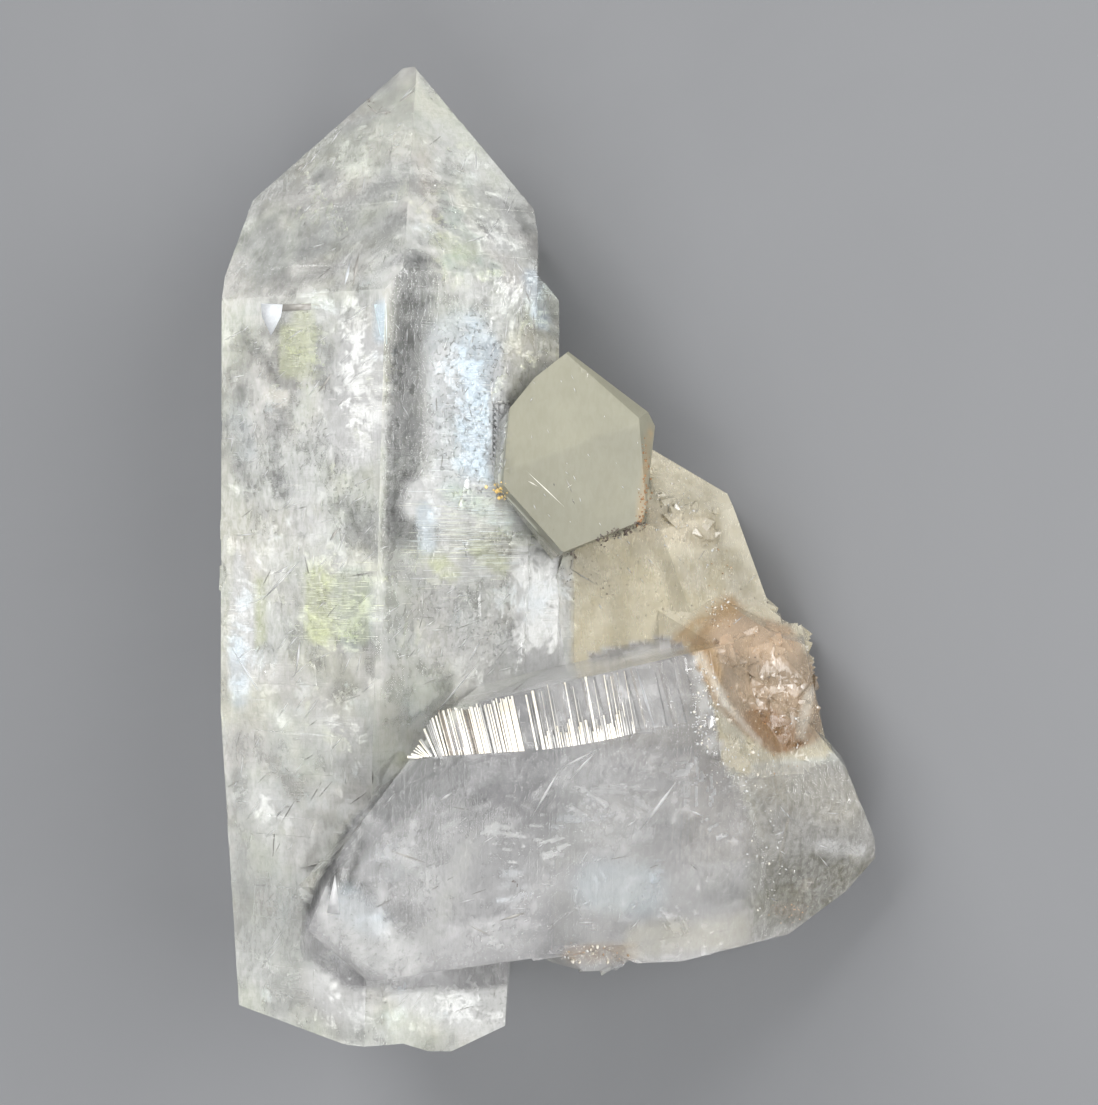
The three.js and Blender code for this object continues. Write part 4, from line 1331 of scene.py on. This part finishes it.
# Trails of specks in the picture: start, stop, spread, count, size in millimetres, and look, dark
# 0, rusty 1 or golden 2
SPECK_TRAILS = [
    ((600, 538), (643, 524), 3, 90, 0.2, 0), ((641, 525), (648, 470), 3, 60, 0.18, 1),
    ((497, 486), (501, 494), 4, 26, 0.26, 2), ((571, 553), (574, 557), 2, 12, 0.26, 0),
    ((580, 556), (640, 560), 14, 90, 0.07, 0), ((580, 580), (650, 600), 16, 60, 0.06, 0),
    ((572, 572), (612, 590), 6, 26, 0.11, 0), ((648, 600), (690, 618), 8, 16, 0.1, 0),
    ((648, 470), (640, 432), 2, 26, 0.14, 1), ((762, 720), (785, 748), 12, 60, 0.1, 1),
    ((560, 946), (630, 960), 5, 50, 0.08, 1), ((776, 908), (800, 912), 6, 24, 0.1, 1),
    ((744, 612), (790, 700), 26, 60, 0.09, 0), ((515, 882), (518, 888), 2, 6, 0.16, 0),
    ((566, 862), (700, 870), 46, 26, 0.07, 0), ((366, 98), (389, 115), 1.5, 26, 0.1, 0),
]


class QUARTZ_OT_specks(bpy.types.Operator):
    """Sprinkle dark, rusty and golden mineral grains along the contacts"""

    bl_idname = "quartz.specks"
    bl_label = "Mineral specks"

    def execute(self, context):
        random = np.random.default_rng(53)
        skin = Skin(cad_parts[SOLID])
        looks = [
            plain_look("dark mineral", (0.06, 0.05, 0.045), (0.12, 0.09, 0.07), 0.4),
            plain_look("rusty mineral", (0.2, 0.1, 0.04), (0.32, 0.17, 0.07), 0.5),
            plain_look("golden mineral", (0.75, 0.5, 0.14), (0.85, 0.65, 0.3), 0.3),
        ]
        centres, lengths, tones = [], [], []
        for start, stop, spread, count, size, look in SPECK_TRAILS:
            for _ in range(count):
                share = random.uniform()
                px = start[0] + (stop[0] - start[0]) * share + random.normal(0, spread)
                py = start[1] + (stop[1] - start[1]) * share + random.normal(0, spread)
                hit = skin.below(px, py)
                length = size * random.lognormal(0, 0.4)
                if hit is None:
                    continue
                centres.append(hit[0])
                lengths.append(length)
                tones.append(look)
        lengths = np.array(lengths)
        frames = random_frames(random, random.normal(size=(len(lengths), 3)), 0.0)
        sizes = lengths[:, None] * random.uniform(0.6, 1.3, (len(lengths), 3))
        scattered("mineral_specks", GRAIN, GRAIN_FACES, looks, centres, frames, sizes, tones)
        return {"FINISHED"}


# Stage, panel and registration

class QUARTZ_OT_stage(bpy.types.Operator):
    """Add the pale floor, the soft studio lights and the camera"""

    bl_idname = "quartz.stage"
    bl_label = "Stage"

    def execute(self, context):
        settings = context.scene.quartz_stage
        scene = context.scene
        bpy.ops.object.select_all(action="DESELECT")
        bpy.ops.mesh.primitive_plane_add(size=3.0, location=(0, 0, 0))
        floor = context.object
        floor.name = "floor"
        tint = tuple(settings.floor_tint)
        darker = tuple(0.97 * c for c in tint)
        floor.data.materials.append(plain_look("plain floor", tint, darker, 0.75, scale=0.01))

        # Name, place and size in metres, and watts
        lamps = [
            ("key", (-0.25, 0.75, 0.75), 0.7, 12.0),
            ("front", (0.95, 0.12, 0.6), 0.6, 13.0),
            ("right", (0.3, -0.6, 0.5), 0.5, 4.6),
        ]
        for name, place, size, watts in lamps:
            data = bpy.data.lights.new(name, "AREA")
            data.shape = "DISK"
            data.size = size
            data.energy = watts
            lamp = bpy.data.objects.new(name, data)
            lamp.location = place
            lamp.rotation_euler = (-Vector(place)).to_track_quat("-Z", "Y").to_euler()
            scene.collection.objects.link(lamp)

        world = bpy.data.worlds.new("studio")
        world.use_nodes = True
        world.node_tree.nodes["Background"].inputs["Color"].default_value = (0.93, 0.94, 0.95, 1)
        world.node_tree.nodes["Background"].inputs["Strength"].default_value = 0.66
        scene.world = world

        data = bpy.data.cameras.new("camera")
        data.sensor_fit = "HORIZONTAL"
        data.sensor_width = 36
        data.lens = settings.lens
        data.clip_start = 0.01
        camera = bpy.data.objects.new("camera", data)
        camera.location = placed((0, 0, settings.camera_distance))
        camera.rotation_euler = Euler((0, REST_TURN, 0))
        scene.collection.objects.link(camera)
        scene.camera = camera
        scene.view_settings.view_transform = "Standard"
        return {"FINISHED"}


class QUARTZ_PT_sidebar(bpy.types.Panel):
    """Buttons and settings of the cluster"""

    bl_idname = "QUARTZ_PT_sidebar"
    bl_label = "Quartz cluster"
    bl_space_type = "VIEW_3D"
    bl_region_type = "UI"
    bl_category = "Quartz"

    def draw(self, context):
        for name in SETTINGS:
            box = self.layout.box()
            settings = getattr(context.scene, name)
            for field in settings.bl_rna.properties.keys():
                if field not in ("rna_type", "name"):
                    box.prop(settings, field)
        for operator in OPERATORS:
            self.layout.operator(operator.bl_idname)


SETTINGS = {
    "quartz_skin": SkinSettings,
    "quartz_veils": VeilSettings,
    "quartz_crust": CrustSettings,
    "quartz_stage": StageSettings,
}
OPERATORS = [
    QUARTZ_OT_skin, QUARTZ_OT_veils, QUARTZ_OT_striated_band, QUARTZ_OT_striation_flashes, QUARTZ_OT_chips,
    QUARTZ_OT_crust, QUARTZ_OT_specks, QUARTZ_OT_stage,
]


def register():
    for cls in [*SETTINGS.values(), *OPERATORS, QUARTZ_PT_sidebar]:
        bpy.utils.register_class(cls)
    for name, cls in SETTINGS.items():
        setattr(bpy.types.Scene, name, bpy.props.PointerProperty(type=cls))


def unregister():
    for name in SETTINGS:
        delattr(bpy.types.Scene, name)
    for cls in reversed([*SETTINGS.values(), *OPERATORS, QUARTZ_PT_sidebar]):
        bpy.utils.unregister_class(cls)


def main():
    register()
    GROUPS.update(build_groups())
    for operator in OPERATORS:
        prefix, name = operator.bl_idname.split(".")
        getattr(getattr(bpy.ops, prefix), name)()


if __name__ == "__main__":
    main()
